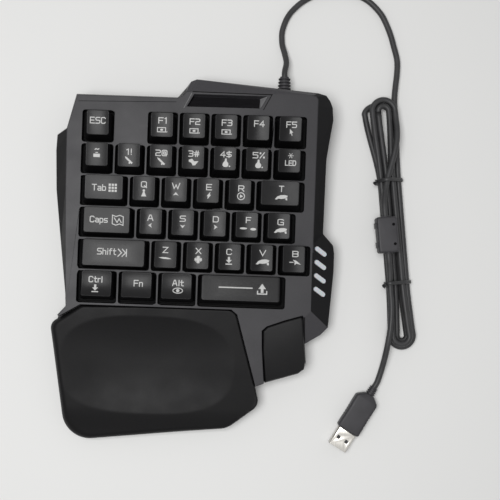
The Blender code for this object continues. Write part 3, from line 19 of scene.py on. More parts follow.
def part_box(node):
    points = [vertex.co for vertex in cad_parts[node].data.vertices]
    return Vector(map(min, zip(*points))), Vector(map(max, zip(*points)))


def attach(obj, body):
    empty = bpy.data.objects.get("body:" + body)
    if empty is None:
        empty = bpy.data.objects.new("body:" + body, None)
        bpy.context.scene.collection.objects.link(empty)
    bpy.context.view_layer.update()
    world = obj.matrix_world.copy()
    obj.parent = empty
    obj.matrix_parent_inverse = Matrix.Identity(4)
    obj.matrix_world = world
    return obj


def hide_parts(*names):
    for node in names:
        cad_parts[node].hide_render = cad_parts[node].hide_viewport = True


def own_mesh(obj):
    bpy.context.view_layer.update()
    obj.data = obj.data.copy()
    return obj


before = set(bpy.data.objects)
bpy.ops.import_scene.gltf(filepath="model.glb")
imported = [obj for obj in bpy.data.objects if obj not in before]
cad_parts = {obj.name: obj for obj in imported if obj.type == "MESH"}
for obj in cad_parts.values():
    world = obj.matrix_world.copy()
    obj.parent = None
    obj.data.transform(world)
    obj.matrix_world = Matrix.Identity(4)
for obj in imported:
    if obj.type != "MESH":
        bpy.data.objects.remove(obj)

LOG = logging.getLogger("keypad_looks")
ROOT_BODY = "keypad"

Point = tuple[float, float]
Place = tuple[float, float, float]
Colour = tuple[float, float, float]
Level = Callable[[float, float], float]
Outline = Sequence[Point]
Mesh = bmesh.types.BMesh
Ring = list[bmesh.types.BMVert]
Piece = bpy.types.Object
Socket = bpy.types.NodeSocket


# Shapes


def level_at(height: float) -> Level:
    """Give a level that is the same everywhere."""
    return lambda _x, _y: height


def ring(bm: Mesh, points: Outline, level: Level) -> Ring:
    """Make one ring of vertices from its outline and its height by place."""
    return [bm.verts.new((x, y, level(x, y))) for x, y in points]


def bridge(bm: Mesh, lower: Ring, upper: Ring, finish: int = 0) -> None:
    """Join two rings of equal count with quads.

    Args:
        bm: Mesh under construction.
        lower: First ring.
        upper: Second ring.
        finish: Index of the finish that the quads take.
    """
    for index, vert in enumerate(lower):
        after = (index + 1) % len(lower)
        face = bm.faces.new((vert, lower[after], upper[after], upper[index]))
        face.material_index = finish


def stack(bm: Mesh, rings: Sequence[Ring], closed: bool = True) -> None:
    """Bridge rings in order.

    Args:
        bm: Mesh under construction.
        rings: Rings of equal count.
        closed: Whether both ends are capped.
    """
    for lower, upper in zip(rings, rings[1:]):
        bridge(bm, lower, upper)
    if closed:
        bm.faces.new(rings[0])
        bm.faces.new(rings[-1])


def fan(bm: Mesh, edge: Ring, middle: Vector) -> None:
    """Close a ring with triangles to a middle point.

    Args:
        bm: Mesh under construction.
        edge: Ring to close.
        middle: Place of the middle point.
    """
    centre = bm.verts.new(middle)
    for index, vert in enumerate(edge):
        bm.faces.new((vert, edge[(index + 1) % len(edge)], centre))


def rectangle(left: float, right: float, front: float, rear: float) -> list[Point]:
    """List the corners of a rectangle, anticlockwise from the front left."""
    return [(left, front), (right, front), (right, rear), (left, rear)]


def rounded(corners: Outline, radii: Sequence[float], steps: int) -> list[Point]:
    """Round each corner of a convex outline with an arc.

    Args:
        corners: Corners, anticlockwise or clockwise.
        radii: One radius for each corner.
        steps: Steps in each arc.

    Returns:
        The rounded outline.
    """
    points = []
    for index, corner in enumerate(corners):
        here = Vector(corner)
        before = (Vector(corners[index - 1]) - here).normalized()
        after = (Vector(corners[(index + 1) % len(corners)]) - here).normalized()
        half = before.angle(after) / 2
        centre = here + (before + after).normalized() * (radii[index] / math.sin(half))
        start = here + before * (radii[index] / math.tan(half)) - centre
        end = here + after * (radii[index] / math.tan(half)) - centre
        sweep = start.angle_signed(end)
        for step in range(steps + 1):
            turned = start.copy()
            turned.rotate(Matrix.Rotation(-sweep * step / steps, 2))
            points.append(tuple(centre + turned))
    return points


def rounded_box(width: float, depth: float, radius: float, steps: int) -> list[Point]:
    """Outline of a rounded rectangle about the origin."""
    corners = rectangle(-width / 2, width / 2, -depth / 2, depth / 2)
    return rounded(corners, [radius] * len(corners), steps)


def divided(points: Outline, longest: float) -> list[Point]:
    """Divide the long sides of an outline.

    Args:
        points: Closed outline.
        longest: Longest side that may stay.

    Returns:
        The outline with points added on its long sides.
    """
    made = []
    for index, start in enumerate(points):
        end = points[(index + 1) % len(points)]
        count = max(1, math.ceil(math.dist(start, end) / longest))
        for step in range(count):
            made += towards([start], end, step / count)
    return made


def moved(points: Outline, x: float, y: float) -> list[Point]:
    """Shift an outline."""
    return [(px + x, py + y) for px, py in points]


def towards(points: Outline, centre: Point, share: float) -> list[Point]:
    """Draw an outline in by a share of the way to a centre."""
    return [(px + (centre[0] - px) * share, py + (centre[1] - py) * share) for px, py in points]


def circle(radius: float, sides: int, x: float = 0.0, y: float = 0.0) -> list[Point]:
    """Outline of a circle as a regular polygon."""
    turn = 2 * math.pi / sides
    return [(x + radius * math.cos(turn * i), y + radius * math.sin(turn * i)) for i in range(sides)]


def quarter_turned(points: Outline, quarters: int) -> list[Point]:
    """Turn an outline anticlockwise by quarter turns."""
    for _ in range(quarters):
        points = [(-y, x) for x, y in points]
    return list(points)


def cross(reach: float, arm: float) -> list[Point]:
    """Outline of an upright cross, by the reach and the half width of its arms."""
    corner = ((reach, arm), (arm, arm), (arm, reach))
    return [point for quarters in range(4) for point in quarter_turned(corner, quarters)]


def ease(value: float) -> float:
    """Smooth step from 0 to 1."""
    share = min(max(value, 0.0), 1.0)
    return share * share * (3.0 - 2.0 * share)


def between(value: float, start: float, end: float) -> float:
    """How far a value is on its way from a start to an end, as a share."""
    return (value - start) / (end - start)


def turned_profile(bm: Mesh, profile: Outline, sides: int, matrix: Matrix) -> None:
    """Turn a profile about the local Z axis into a closed solid.

    Args:
        bm: Mesh under construction.
        profile: Pairs of length along the axis and radius.
        sides: Sides of the turned body.
        matrix: Frame of the axis.
    """
    rings = []
    for length, radius in profile:
        rings.append([bm.verts.new(matrix @ Vector((x, y, length))) for x, y in circle(radius, sides)])
    stack(bm, rings)


# Finishes


class NodeWeb:
    """Builder for the nodes of one material or world around its shader."""

    def __init__(self, tree: bpy.types.NodeTree, shader: str = "Principled BSDF") -> None:
        """Start from a tree's own shader and its object coordinates."""
        self.tree = tree
        self.shader = tree.nodes[shader]
        self.place = self.add("ShaderNodeTexCoord").outputs["Object"]

    def add(self, kind: str) -> bpy.types.Node:
        """Add a node of a kind."""
        return self.tree.nodes.new(kind)

    def join(self, source: Socket, target: Socket) -> None:
        """Link one socket to another."""
        self.tree.links.new(source, target)

    def settle(self, **values: float | Sequence[float]) -> None:
        """Set constants on the shader, with spaces in a socket's name as underscores."""
        for name, value in values.items():
            self.shader.inputs[name.replace("_", " ")].default_value = value

    def shade(self, share: Socket, first: Colour, second: Colour, roughness: Point) -> None:
        """Run the base colour and the roughness from one value to another by the same share.

        Args:
            share: Share of the second values.
            first: Colour at share 0.
            second: Colour at share 1.
            roughness: Roughness at share 0 and at share 1.
        """
        self.join(self.blend(share, first, second), self.shader.inputs["Base Color"])
        self.join(self.spread(share, 0.0, 1.0, *roughness), self.shader.inputs["Roughness"])

    def noise(self, grain: float, detail: float = 2.0, place: Socket | None = None) -> Socket:
        """Add noise.

        Args:
            grain: Size of its grains, in metres.
            detail: Octaves of finer noise.
            place: Coordinates, when they aren't the plain ones.

        Returns:
            The noise value.
        """
        made = self.add("ShaderNodeTexNoise")
        made.inputs["Scale"].default_value = 1.0 / grain
        made.inputs["Detail"].default_value = detail
        self.join(place or self.place, made.inputs["Vector"])
        return made.outputs["Fac"]

    def stretched(self, x: float, y: float, z: float) -> Socket:
        """Scale the coordinates by axis."""
        made = self.add("ShaderNodeMapping")
        made.inputs["Scale"].default_value = (x, y, z)
        self.join(self.place, made.inputs["Vector"])
        return made.outputs["Vector"]

    def spread(self, value: Socket, low: float, high: float, start: float = 0.0, end: float = 1.0
               ) -> Socket:
        """Map a value from one range to another.

        Args:
            value: Value to map.
            low: Start of its own range.
            high: End of its own range.
            start: Result at the start.
            end: Result at the end.

        Returns:
            The mapped value.
        """
        made = self.add("ShaderNodeMapRange")
        self.join(value, made.inputs["Value"])
        for name, number in (("From Min", low), ("From Max", high), ("To Min", start), ("To Max", end)):
            made.inputs[name].default_value = number
        return made.outputs["Result"]

    def blend(self, share: Socket, first: Colour | Socket, second: Colour | Socket) -> Socket:
        """Mix two colours.

        Args:
            share: Share of the second colour.
            first: Colour, or a socket that gives it.
            second: Colour, or a socket that gives it.

        Returns:
            The mixed colour.
        """
        made = self.add("ShaderNodeMix")
        made.data_type = "RGBA"
        self.join(share, made.inputs[0])
        # Of the node's sockets, 6 and 7 take the colours and 2 gives their mix
        for given, target in ((first, made.inputs[6]), (second, made.inputs[7])):
            if isinstance(given, Socket):
                self.join(given, target)
            else:
                target.default_value = (*given, 1.0)
        return made.outputs[2]

    def attribute(self, name: str) -> Socket:
        """Read a value that the mesh carries."""
        made = self.add("ShaderNodeAttribute")
        made.attribute_name = name
        return made.outputs["Fac"]

    def combine(self, operation: str, *values: Socket | float) -> Socket:
        """Work out a value from sockets and numbers."""
        made = self.add("ShaderNodeMath")
        made.operation = operation
        for value, target in zip(values, made.inputs):
            if isinstance(value, Socket):
                self.join(value, target)
            else:
                target.default_value = value
        return made.outputs["Value"]

    def relief(self, height: Socket, depth: float, strength: float = 1.0) -> None:
        """Drive the shader's normal from a height.

        Args:
            height: Height value from 0 to 1.
            depth: Depth of the relief, in metres.
            strength: Strength of the bump.
        """
        made = self.add("ShaderNodeBump")
        made.inputs["Strength"].default_value = strength
        made.inputs["Distance"].default_value = depth
        self.join(height, made.inputs["Height"])
        self.join(made.outputs["Normal"], self.shader.inputs["Normal"])


def tinted(colour: Colour, factor: float, lift: float = 0.0) -> Colour:
    """Lighten or darken a colour."""
    return tuple(value * factor + lift for value in colour)


@dataclass(frozen=True)
class Finish:
    """A finish with a name, made once as a node material."""

    name: str

    def material(self) -> bpy.types.Material:
        """Make, or find, the material of this finish."""
        found = bpy.data.materials.get(self.name)
        if found:
            return found
        made = bpy.data.materials.new(self.name)
        made.use_nodes = True
        self.wire(NodeWeb(made.node_tree))
        return made

    def wire(self, web: NodeWeb) -> None:
        """Build the nodes of the material."""
        raise NotImplementedError


@dataclass(frozen=True)
class MouldedPlastic(Finish):
    """Moulded plastic with a spark-eroded grain, uneven sheen, and edges lightened where the mesh marks
    them: rubbed wear on the caps, a painted highlight on the palm and thumb rests.
    """

    colour: Colour
    roughness: float
    grain: float = 0.00022
    grain_depth: float = 0.000012
    mottle: float = 0.12
    wear_and_highlight_strength: float = 1.0
    specular: float = 0.5
    worn_and_lit: Point = (1.9, 0.006)
    patch_size: float = 0.004
    haze_size: float = 0.018
    polish: float = -0.14

    def wire(self, web: NodeWeb) -> None:
        """Mottle the colour, break up the sheen, lighten the marked edges and raise the grain."""
        speckle = web.spread(web.noise(self.grain * 3.0, 3.0), 0.32, 0.68)
        dark, light = (tinted(self.colour, 1.0 + change) for change in (-self.mottle, self.mottle))
        base = web.blend(speckle, dark, light)
        patches = web.spread(web.noise(self.patch_size, 3.0), 0.42, 0.66, 0.25, 1.0)
        # Lightened edges: real wear on the caps, painted highlight where the palm and thumb rests mark
        # them.
        mask = web.combine("MULTIPLY", web.attribute("wear_and_highlight"), patches)
        scaled = web.spread(mask, 0.0, 1.0, 0.0, self.wear_and_highlight_strength)
        edges = web.blend(scaled, base, tinted(self.colour, *self.worn_and_lit))
        web.join(edges, web.shader.inputs["Base Color"])
        haze = web.spread(web.noise(self.haze_size, 4.0), 0.30, 0.70, self.roughness - 0.04,
                          self.roughness + 0.05)
        polished = web.combine("MULTIPLY_ADD", web.attribute("polish"), self.polish, haze)
        web.join(polished, web.shader.inputs["Roughness"])
        web.settle(Specular_IOR_Level=self.specular)
        web.relief(web.noise(self.grain), self.grain_depth)


@dataclass(frozen=True)
class EtchedInk(Finish):
    """Off-white print of the legends, slightly uneven in tone."""

    colour: Colour
    roughness: float = 0.45

    def wire(self, web: NodeWeb) -> None:
        """Vary the tone over a legend and keep it matt."""
        tone = web.spread(web.noise(0.0009), 0.35, 0.65)
        web.shade(tone, tinted(self.colour, 0.86), self.colour, (self.roughness, self.roughness + 0.1))


@dataclass(frozen=True)
class GlossPanel(Finish):
    """Polished dark panel with faint wiping marks."""

    colour: Colour

    def wire(self, web: NodeWeb) -> None:
        """Lay faint streaks in the gloss."""
        tone = web.spread(web.noise(0.0012, 4.0, web.stretched(0.15, 1.0, 1.0)), 0.35, 0.65)
        web.shade(tone, self.colour, tinted(self.colour, 1.5), (0.10, 0.17))
        web.settle(Specular_IOR_Level=0.07)


@dataclass(frozen=True)
class MilkyDiffuser(Finish):
    """Milky light-guide plastic, cloudy inside and softly polished."""

    colour: Colour

    def wire(self, web: NodeWeb) -> None:
        """Cloud the colour, and let light soak in a little."""
        cloud = web.spread(web.noise(0.0016, 3.0), 0.3, 0.7)
        cool = (self.colour[0] * 0.93, self.colour[1] * 0.94, self.colour[2])
        web.shade(cloud, cool, self.colour, (0.30, 0.40))
        web.settle(Subsurface_Weight=0.15, Subsurface_Scale=0.001)


@dataclass(frozen=True)
class SoftJacket(Finish):
    """Soft plastic or rubber with a fine extruded or moulded texture."""

    colour: Colour
    roughness: float
    grain: float = 0.0005
    grain_depth: float = 0.00003
    specular: float = 0.3

    def wire(self, web: NodeWeb) -> None:
        """Give it a faint bloom, uneven gloss and soft pimples."""
        web.settle(Specular_IOR_Level=self.specular)
        bloom = web.spread(web.noise(0.007, 4.0), 0.35, 0.70)
        web.shade(bloom, self.colour, tinted(self.colour, 1.35, 0.002),
                  (self.roughness - 0.06, self.roughness + 0.06))
        web.relief(web.noise(self.grain, 3.0), self.grain_depth)


@dataclass(frozen=True)
class WorkedMetal(Finish):
    """Rolled or plated metal with fine drawing lines along one axis."""

    colour: Colour
    roughness: float
    lines: Place = (1.0, 0.06, 1.0)

    def wire(self, web: NodeWeb) -> None:
        """Streak the roughness and the colour along the drawing lines."""
        streaks = web.noise(0.00025, 4.0, web.stretched(*self.lines))
        web.shade(web.spread(streaks, 0.30, 0.70), tinted(self.colour, 0.86), self.colour,
                  (self.roughness - 0.05, self.roughness + 0.09))
        web.settle(Metallic=1.0)
        web.relief(streaks, 0.000004, 0.6)


@dataclass(frozen=True)
class CircuitBoard(Finish):
    """Solder mask over copper tracks."""

    mask: Colour
    track: Colour
    cells_per_metre: float = 320.0

    def wire(self, web: NodeWeb) -> None:
        """Show square-cornered tracks as lighter mask over the board."""
        cells = web.add("ShaderNodeTexVoronoi")
        cells.distance = "CHEBYCHEV"
        cells.feature = "DISTANCE_TO_EDGE"
        cells.inputs["Scale"].default_value = self.cells_per_metre
        web.join(web.place, cells.inputs["Vector"])
        lines = web.spread(cells.outputs["Distance"], 0.05, 0.09, 1.0, 0.0)
        web.shade(lines, self.mask, self.track, (0.32, 0.42))
        web.relief(lines, 0.00003)


@dataclass(frozen=True)
class ClearFilm(Finish):
    """Thin polyester film with printed conductive ink."""

    film: Colour
    ink: Colour
    bands_per_metre: float = 90.0
    waver: float = 3.0

    def wire(self, web: NodeWeb) -> None:
        """Print dull grey ink bands over the film."""
        bands = web.add("ShaderNodeTexWave")
        bands.inputs["Scale"].default_value = self.bands_per_metre
        bands.inputs["Distortion"].default_value = self.waver
        web.join(web.place, bands.inputs["Vector"])
        web.shade(web.spread(bands.outputs["Fac"], 0.72, 0.80), self.film, self.ink, (0.20, 0.50))


@dataclass(frozen=True)
class PalePaper(Finish):
    """Plain pale floor with a barely uneven tone."""

    colour: Colour

    def wire(self, web: NodeWeb) -> None:
        """Vary the tone by a hair, and keep the floor matt."""
        tone = web.blend(web.noise(0.35), self.colour, tinted(self.colour, 1.02))
        web.join(tone, web.shader.inputs["Base Color"])
        web.settle(Roughness=0.95, Specular_IOR_Level=0.1)


SHELL = MouldedPlastic("deck_shell_plastic", (0.0245, 0.0235, 0.0265), 0.43, specular=0.25)
# Light grey plastic: painted light on the window recess's left-facing walls and on the bead at the bezel's
# left.
LIT_WALL = MouldedPlastic("window_wall_painted_light", (0.1500, 0.1490, 0.1530), 0.30, mottle=0.05, specular=0.4)
# Lighter copy of the deck plastic: painted light on the hump's rear-facing band and on the front-facing toe
# right of the field.
LIT_BAND = MouldedPlastic("hump_rear_painted_light", (0.0400, 0.0385, 0.0425), 0.42, specular=0.3)
# Near-black plastic: painted shade on the walls of the key wells, in the seam right of the window and on
# the lines at the bezel; also the ferrite's dark pips.
SHADE_AND_PIP_BLACK = MouldedPlastic("painted_shade_and_pip_black", (0.0022, 0.0021, 0.0024), 0.60, specular=0.05)
# Darker than the deck on the side flanks and the lower case; on left-facing faces behind the field it is
# painted shade.
WING = MouldedPlastic("wing_shell_plastic", (0.0070, 0.0068, 0.0074), 0.44, specular=0.13)
CAP = MouldedPlastic("keycap_plastic", (0.0080, 0.0078, 0.0084), 0.32, grain=0.00026, wear_and_highlight_strength=0.4,
                     specular=0.15)
# Darker copy of the keycap plastic on the caps' sides: painted shade.
SKIRT_SHADE = MouldedPlastic("keycap_skirt_painted_shade", (0.0030, 0.0029, 0.0032), 0.50, grain=0.00026, wear_and_highlight_strength=0.2,
                       specular=0.06)
PALM = MouldedPlastic("palm_rest_soft_plastic", (0.0056, 0.0054, 0.0058), 0.45, grain=0.00035,
                      specular=0.10)
THUMB = MouldedPlastic("thumb_pad_soft_plastic", (0.0072, 0.0070, 0.0075), 0.44, grain=0.00035,
                       specular=0.13)
INNER = MouldedPlastic("inner_frame_plastic", (0.0035, 0.0034, 0.0037), 0.62, specular=0.08)
INK = EtchedInk("legend_ink", (0.52, 0.52, 0.51))
WINDOW = GlossPanel("window_gloss_panel", (0.0040, 0.0036, 0.0045))
DIFFUSER = MilkyDiffuser("light_bar_diffuser", (0.64, 0.66, 0.67))
JACKET = SoftJacket("cable_jacket", (0.030, 0.030, 0.031), 0.42, specular=0.25)
PLUG_GRIP = SoftJacket("plug_overmould", (0.029, 0.028, 0.031), 0.50)
TIE = SoftJacket("tie_jacket", (0.026, 0.026, 0.027), 0.38)
RUBBER = SoftJacket("foot_rubber_pad", (0.020, 0.020, 0.020), 0.85, grain=0.0003, grain_depth=0.00006)
SILICONE = SoftJacket("dome_silicone", (0.68, 0.68, 0.65), 0.5)
NICKEL = WorkedMetal("shell_nickel", (0.62, 0.60, 0.56), 0.30)
STEEL = WorkedMetal("plate_zinc_steel", (0.50, 0.50, 0.51), 0.38)
SCREW_STEEL = WorkedMetal("screw_black_zinc", (0.10, 0.10, 0.11), 0.32)
GOLD = WorkedMetal("contact_gold", (0.86, 0.62, 0.24), 0.25)
BOARD = CircuitBoard("board_solder_mask", (0.010, 0.090, 0.045), (0.030, 0.190, 0.090))
FILM = ClearFilm("membrane_film", (0.55, 0.60, 0.62), (0.20, 0.21, 0.22))
FLOOR = PalePaper("studio_floor", (0.80, 0.80, 0.79))


# Pieces


@dataclass(frozen=True)
class Fitting:
    """Where a piece belongs: its body, its material slot and the nodes it stands for."""

    slot: str
    nodes: tuple[str, ...] = ()
    body: str = ROOT_BODY


def add_object(name: str, data: bpy.types.ID) -> Piece:
    """Add an object to the scene."""
    made = bpy.data.objects.new(name, data)
    bpy.context.scene.collection.objects.link(made)
    return made


# Angles in degrees from which a piece's edges stay sharp
CRISP, EVEN, ROUND = 30.0, 40.0, 50.0


def make_piece(name: str, bm: Mesh, matrix: Matrix, finishes: Sequence[Finish],
               fitting: Fitting, sharp: float = 32.0) -> Piece:
    """Turn a mesh in a local frame into a dressed piece on its body.

    Args:
        name: Name of the piece.
        bm: Mesh, which is freed.
        matrix: Local frame, as a matrix to the row frame.
        finishes: Finishes, in the order of the faces' indices.
        fitting: Body, slot and CAD nodes of the piece.
        sharp: Angle in degrees from which an edge stays sharp.

    Returns:
        The piece.
    """
    bmesh.ops.recalc_face_normals(bm, faces=bm.faces)
    mesh = bpy.data.meshes.new(name)
    bm.to_mesh(mesh)
    bm.free()
    mesh.transform(matrix)
    for finish in finishes:
        mesh.materials.append(finish.material())
    mesh.shade_smooth()
    mesh.set_sharp_from_angle(angle=math.radians(sharp))
    return seat_piece(add_object(name, mesh), fitting)


def seat_piece(made: Piece, fitting: Fitting) -> Piece:
    """Tie a piece to its body and the nodes it stands for.

    Args:
        made: The piece, in place.
        fitting: Body, slot and CAD nodes of the piece.

    Returns:
        The same piece.
    """
    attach(made, fitting.body)
    if fitting.nodes:
        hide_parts(*fitting.nodes)
    LOG.info("%s rides on %s", made.name, fitting.body)
    return made


SAME_SPOT = 2e-6
SAME_PLANE = math.radians(0.3)


def carried_mesh(node: str) -> Mesh:
    """Copy a CAD node's mesh, with its flat faces whole again.

    Args:
        node: Name of the node.

    Returns:
        A new mesh in the row frame, without the node's triangulation.
    """
    bm = bmesh.new()
    bm.from_mesh(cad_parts[node].data)
    bmesh.ops.remove_doubles(bm, verts=bm.verts, dist=SAME_SPOT)
    bmesh.ops.dissolve_limit(bm, angle_limit=SAME_PLANE, verts=bm.verts, edges=bm.edges)
    for face in bm.faces:
        face.material_index = 0
    return bm


def weigh_edges(bm: Mesh, angle: float, share: Callable[[Vector], float]) -> None:
    """Weigh a mesh's hard edges for their rounding.

    Args:
        bm: Mesh under construction.
        angle: Angle in degrees from which an edge is rounded.
        share: Share of the full rounding, from 0 to 1, by an edge's middle.
    """
    weight = bm.edges.layers.float.new("bevel_weight_edge")
    for edge in bm.edges:
        if edge.is_manifold and edge.calc_face_angle() > math.radians(angle):
            edge[weight] = share((edge.verts[0].co + edge.verts[1].co) / 2)


def soften(made: Piece, width: float, segments: int, angle: float, edge_finish: int = 0,
           clamp: bool = True, flat_over: float = 0.0) -> None:
    """Round a piece's hard edges, and apply the rounding.

    Args:
        made: The piece.
        width: Width of the rounding, in metres.
        segments: Segments across the rounding.
        angle: Angle in degrees from which an edge is rounded, where edges carry no weight.
        edge_finish: Index of the finish that the rounded strips take.
        clamp: Whether short edges hold the rounding back everywhere.
        flat_over: Area in square metres above which a face is shaded flat, or 0 for none.
    """
    attributes = made.data.attributes
    weights, sharp = attributes.get("bevel_weight_edge"), attributes.get("sharp_edge")
    if weights and sharp:
        for weight, kept in zip(weights.data, sharp.data):
            kept.value = kept.value and weight.value == 0.0
    elif sharp:
        attributes.remove(sharp)
    bevel = made.modifiers.new("soft_edges", "BEVEL")
    bevel.width = width
    bevel.segments = segments
    bevel.limit_method = "WEIGHT" if "bevel_weight_edge" in attributes else "ANGLE"
    bevel.angle_limit = math.radians(angle)
    bevel.use_clamp_overlap = clamp
    bevel.harden_normals = not flat_over
    bevel.material = edge_finish
    graph = bpy.context.evaluated_depsgraph_get()
    finished = bpy.data.meshes.new_from_object(made.evaluated_get(graph), depsgraph=graph)
    made.modifiers.clear()
    made.data = finished
    for face in finished.polygons if flat_over else ():
        face.use_smooth = face.area < flat_over


# Layout shared by the pieces


@dataclass(frozen=True)
class Layout:
    """Plan of the keyboard: margins from the key field, the deck's height and its slope."""

    pitch: float = 0.01905
    units: float = 7.25
    rows: int = 6
    left_margin: float = 0.0171
    right_margin: float = 0.0161
    rear_margin: float = 0.0219
    palm_depth: float = 0.0840
    deck_height: float = 0.0225
    deck_slope: float = math.radians(3.0)
    foot_shares: Point = (-0.36, 0.29)

    @property
    def width(self) -> float:
        """Width of the case."""
        return self.left_margin + self.units * self.pitch + self.right_margin

    @property
    def depth(self) -> float:
        """Depth of the case."""
        return self.rear_margin + self.rows * self.pitch + self.palm_depth

    @property
    def left(self) -> float:
        """Left edge of the key field."""
        return self.left_margin - self.width / 2

    @property
    def right(self) -> float:
        """Right edge of the key field."""
        return self.left + self.units * self.pitch

    @property
    def rear(self) -> float:
        """Rear edge of the key field."""
        return self.depth / 2 - self.rear_margin

    @property
    def front(self) -> float:
        """Front edge of the key field."""
        return self.rear - self.rows * self.pitch

    def plan(self, across: float, along: float) -> Point:
        """Turn plan shares into deck coordinates.

        Args:
            across: Share across, with 0 to 1 over the key field.
            along: Share towards the rear, with 0 to 1 over the key field.

        Returns:
            The place in deck coordinates.
        """
        field_width = self.units * self.pitch
        field_depth = self.rows * self.pitch
        x = share_length(across, self.left_margin, field_width, self.right_margin)
        y = share_length(along, self.palm_depth, field_depth, self.rear_margin)
        return self.left + x, self.front + y

    def spots(self, pairs: Outline) -> list[Vector]:
        """Turn pairs of plan shares into places on the deck."""
        return [Vector(self.plan(*pair)) for pair in pairs]

    def desk(self) -> Matrix:
        """Frame that is level with the desk, found from the seat of one rubber foot."""
        low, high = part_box("rubber_foot_rear_left")
        x = (low.x + high.x) / 2 - self.foot_shares[0] * self.width
        y = (low.y + high.y) / 2 - self.foot_shares[1] * self.depth
        return Matrix.Translation((x, y, 0.0))

    def deck(self) -> Matrix:
        """Frame of the tilted key deck."""
        return (self.desk() @ Matrix.Translation((0.0, 0.0, self.deck_height))
                @ Matrix.Rotation(self.deck_slope, 4, "X"))


def share_length(share: float, below: float, middle: float, above: float) -> float:
    """Place a share on a line whose margins and middle each have a length."""
    if share < 0.0:
        return share * below
    if share > 1.0:
        return middle + (share - 1.0) * above
    return share * middle


LAYOUT = Layout()


# Camera, lamp and floor


@dataclass(frozen=True)
class Viewpoint:
    """Camera square to the key deck, as far above it as the perspective asks."""

    lens: float = 62.35
    sensor: float = 36.0
    shift_across: float = 0.07
    turn: float = math.radians(2.02)
    place: Place = (0.01306, 0.00735, 0.520)
    clip: Point = (0.01, 20.0)

    def build(self) -> None:
        """Make the camera and give it to the scene."""
        data = bpy.data.cameras.new("catalogue_camera")
        data.lens = self.lens
        data.sensor_width = self.sensor
        data.shift_x = self.shift_across
        data.clip_start, data.clip_end = self.clip
        camera = add_object("catalogue_camera", data)
        camera.matrix_world = (LAYOUT.deck() @ Matrix.Translation(self.place)
                               @ Matrix.Rotation(self.turn, 4, "Z"))
        bpy.context.scene.camera = camera


@dataclass(frozen=True)
class SoftBox:
    """A square area lamp that looks at a target."""

    name: str
    place: Place
    target: Place
    size: float
    power: float

    def build(self) -> None:
        """Hang the lamp."""
        data = bpy.data.lights.new(self.name, "AREA")
        data.shape = "SQUARE"
        data.size = self.size
        data.energy = self.power
        place = Vector(self.place)
        aim = (Vector(self.target) - place).to_track_quat("-Z", "Y")
        lamp = add_object(self.name, data)
        lamp.matrix_world = Matrix.Translation(place) @ aim.to_matrix().to_4x4()


@dataclass(frozen=True)
class Studio:
    """Plain pale floor, pale surroundings and a soft lamp."""

    floor_half: float = 3.0
    ambient: float = 0.30
    seen: float = 0.85
    lamp: SoftBox = SoftBox("overhead_softbox", (-0.155, -0.02, 0.90), (-0.02, 0.0, 0.0), 0.46, 6.2)

    def build(self) -> None:
        """Lay the floor, set the surroundings and hang the lamp."""
        scene = bpy.context.scene
        scene.view_settings.view_transform = "Standard"
        self.surroundings(scene)
        bm = bmesh.new()
        half = self.floor_half
        bm.faces.new(ring(bm, rectangle(-half, half, -half, half), level_at(0.0)))
        mesh = bpy.data.meshes.new("studio_floor")
        bm.to_mesh(mesh)
        bm.free()
        mesh.materials.append(FLOOR.material())
        add_object("studio_floor", mesh)
        self.lamp.build()

    def surroundings(self, scene: bpy.types.Scene) -> None:
        """Light the scene evenly from all round, and show a pale backdrop.

        Args:
            scene: Scene whose world is set.
        """
        world = bpy.data.worlds.new("studio_surroundings")
        world.use_nodes = True
        web = NodeWeb(world.node_tree, "Background")
        path = web.add("ShaderNodeLightPath")
        seen = path.outputs["Is Camera Ray"]
        for kind in ("Is Glossy Ray", "Is Transmission Ray"):
            seen = web.combine("MAXIMUM", seen, path.outputs[kind])
        web.join(web.spread(seen, 0.0, 1.0, self.ambient, self.seen), web.shader.inputs["Strength"])
        web.settle(Color=(1.0, 1.0, 1.0, 1.0))
        scene.world = world


# Cable


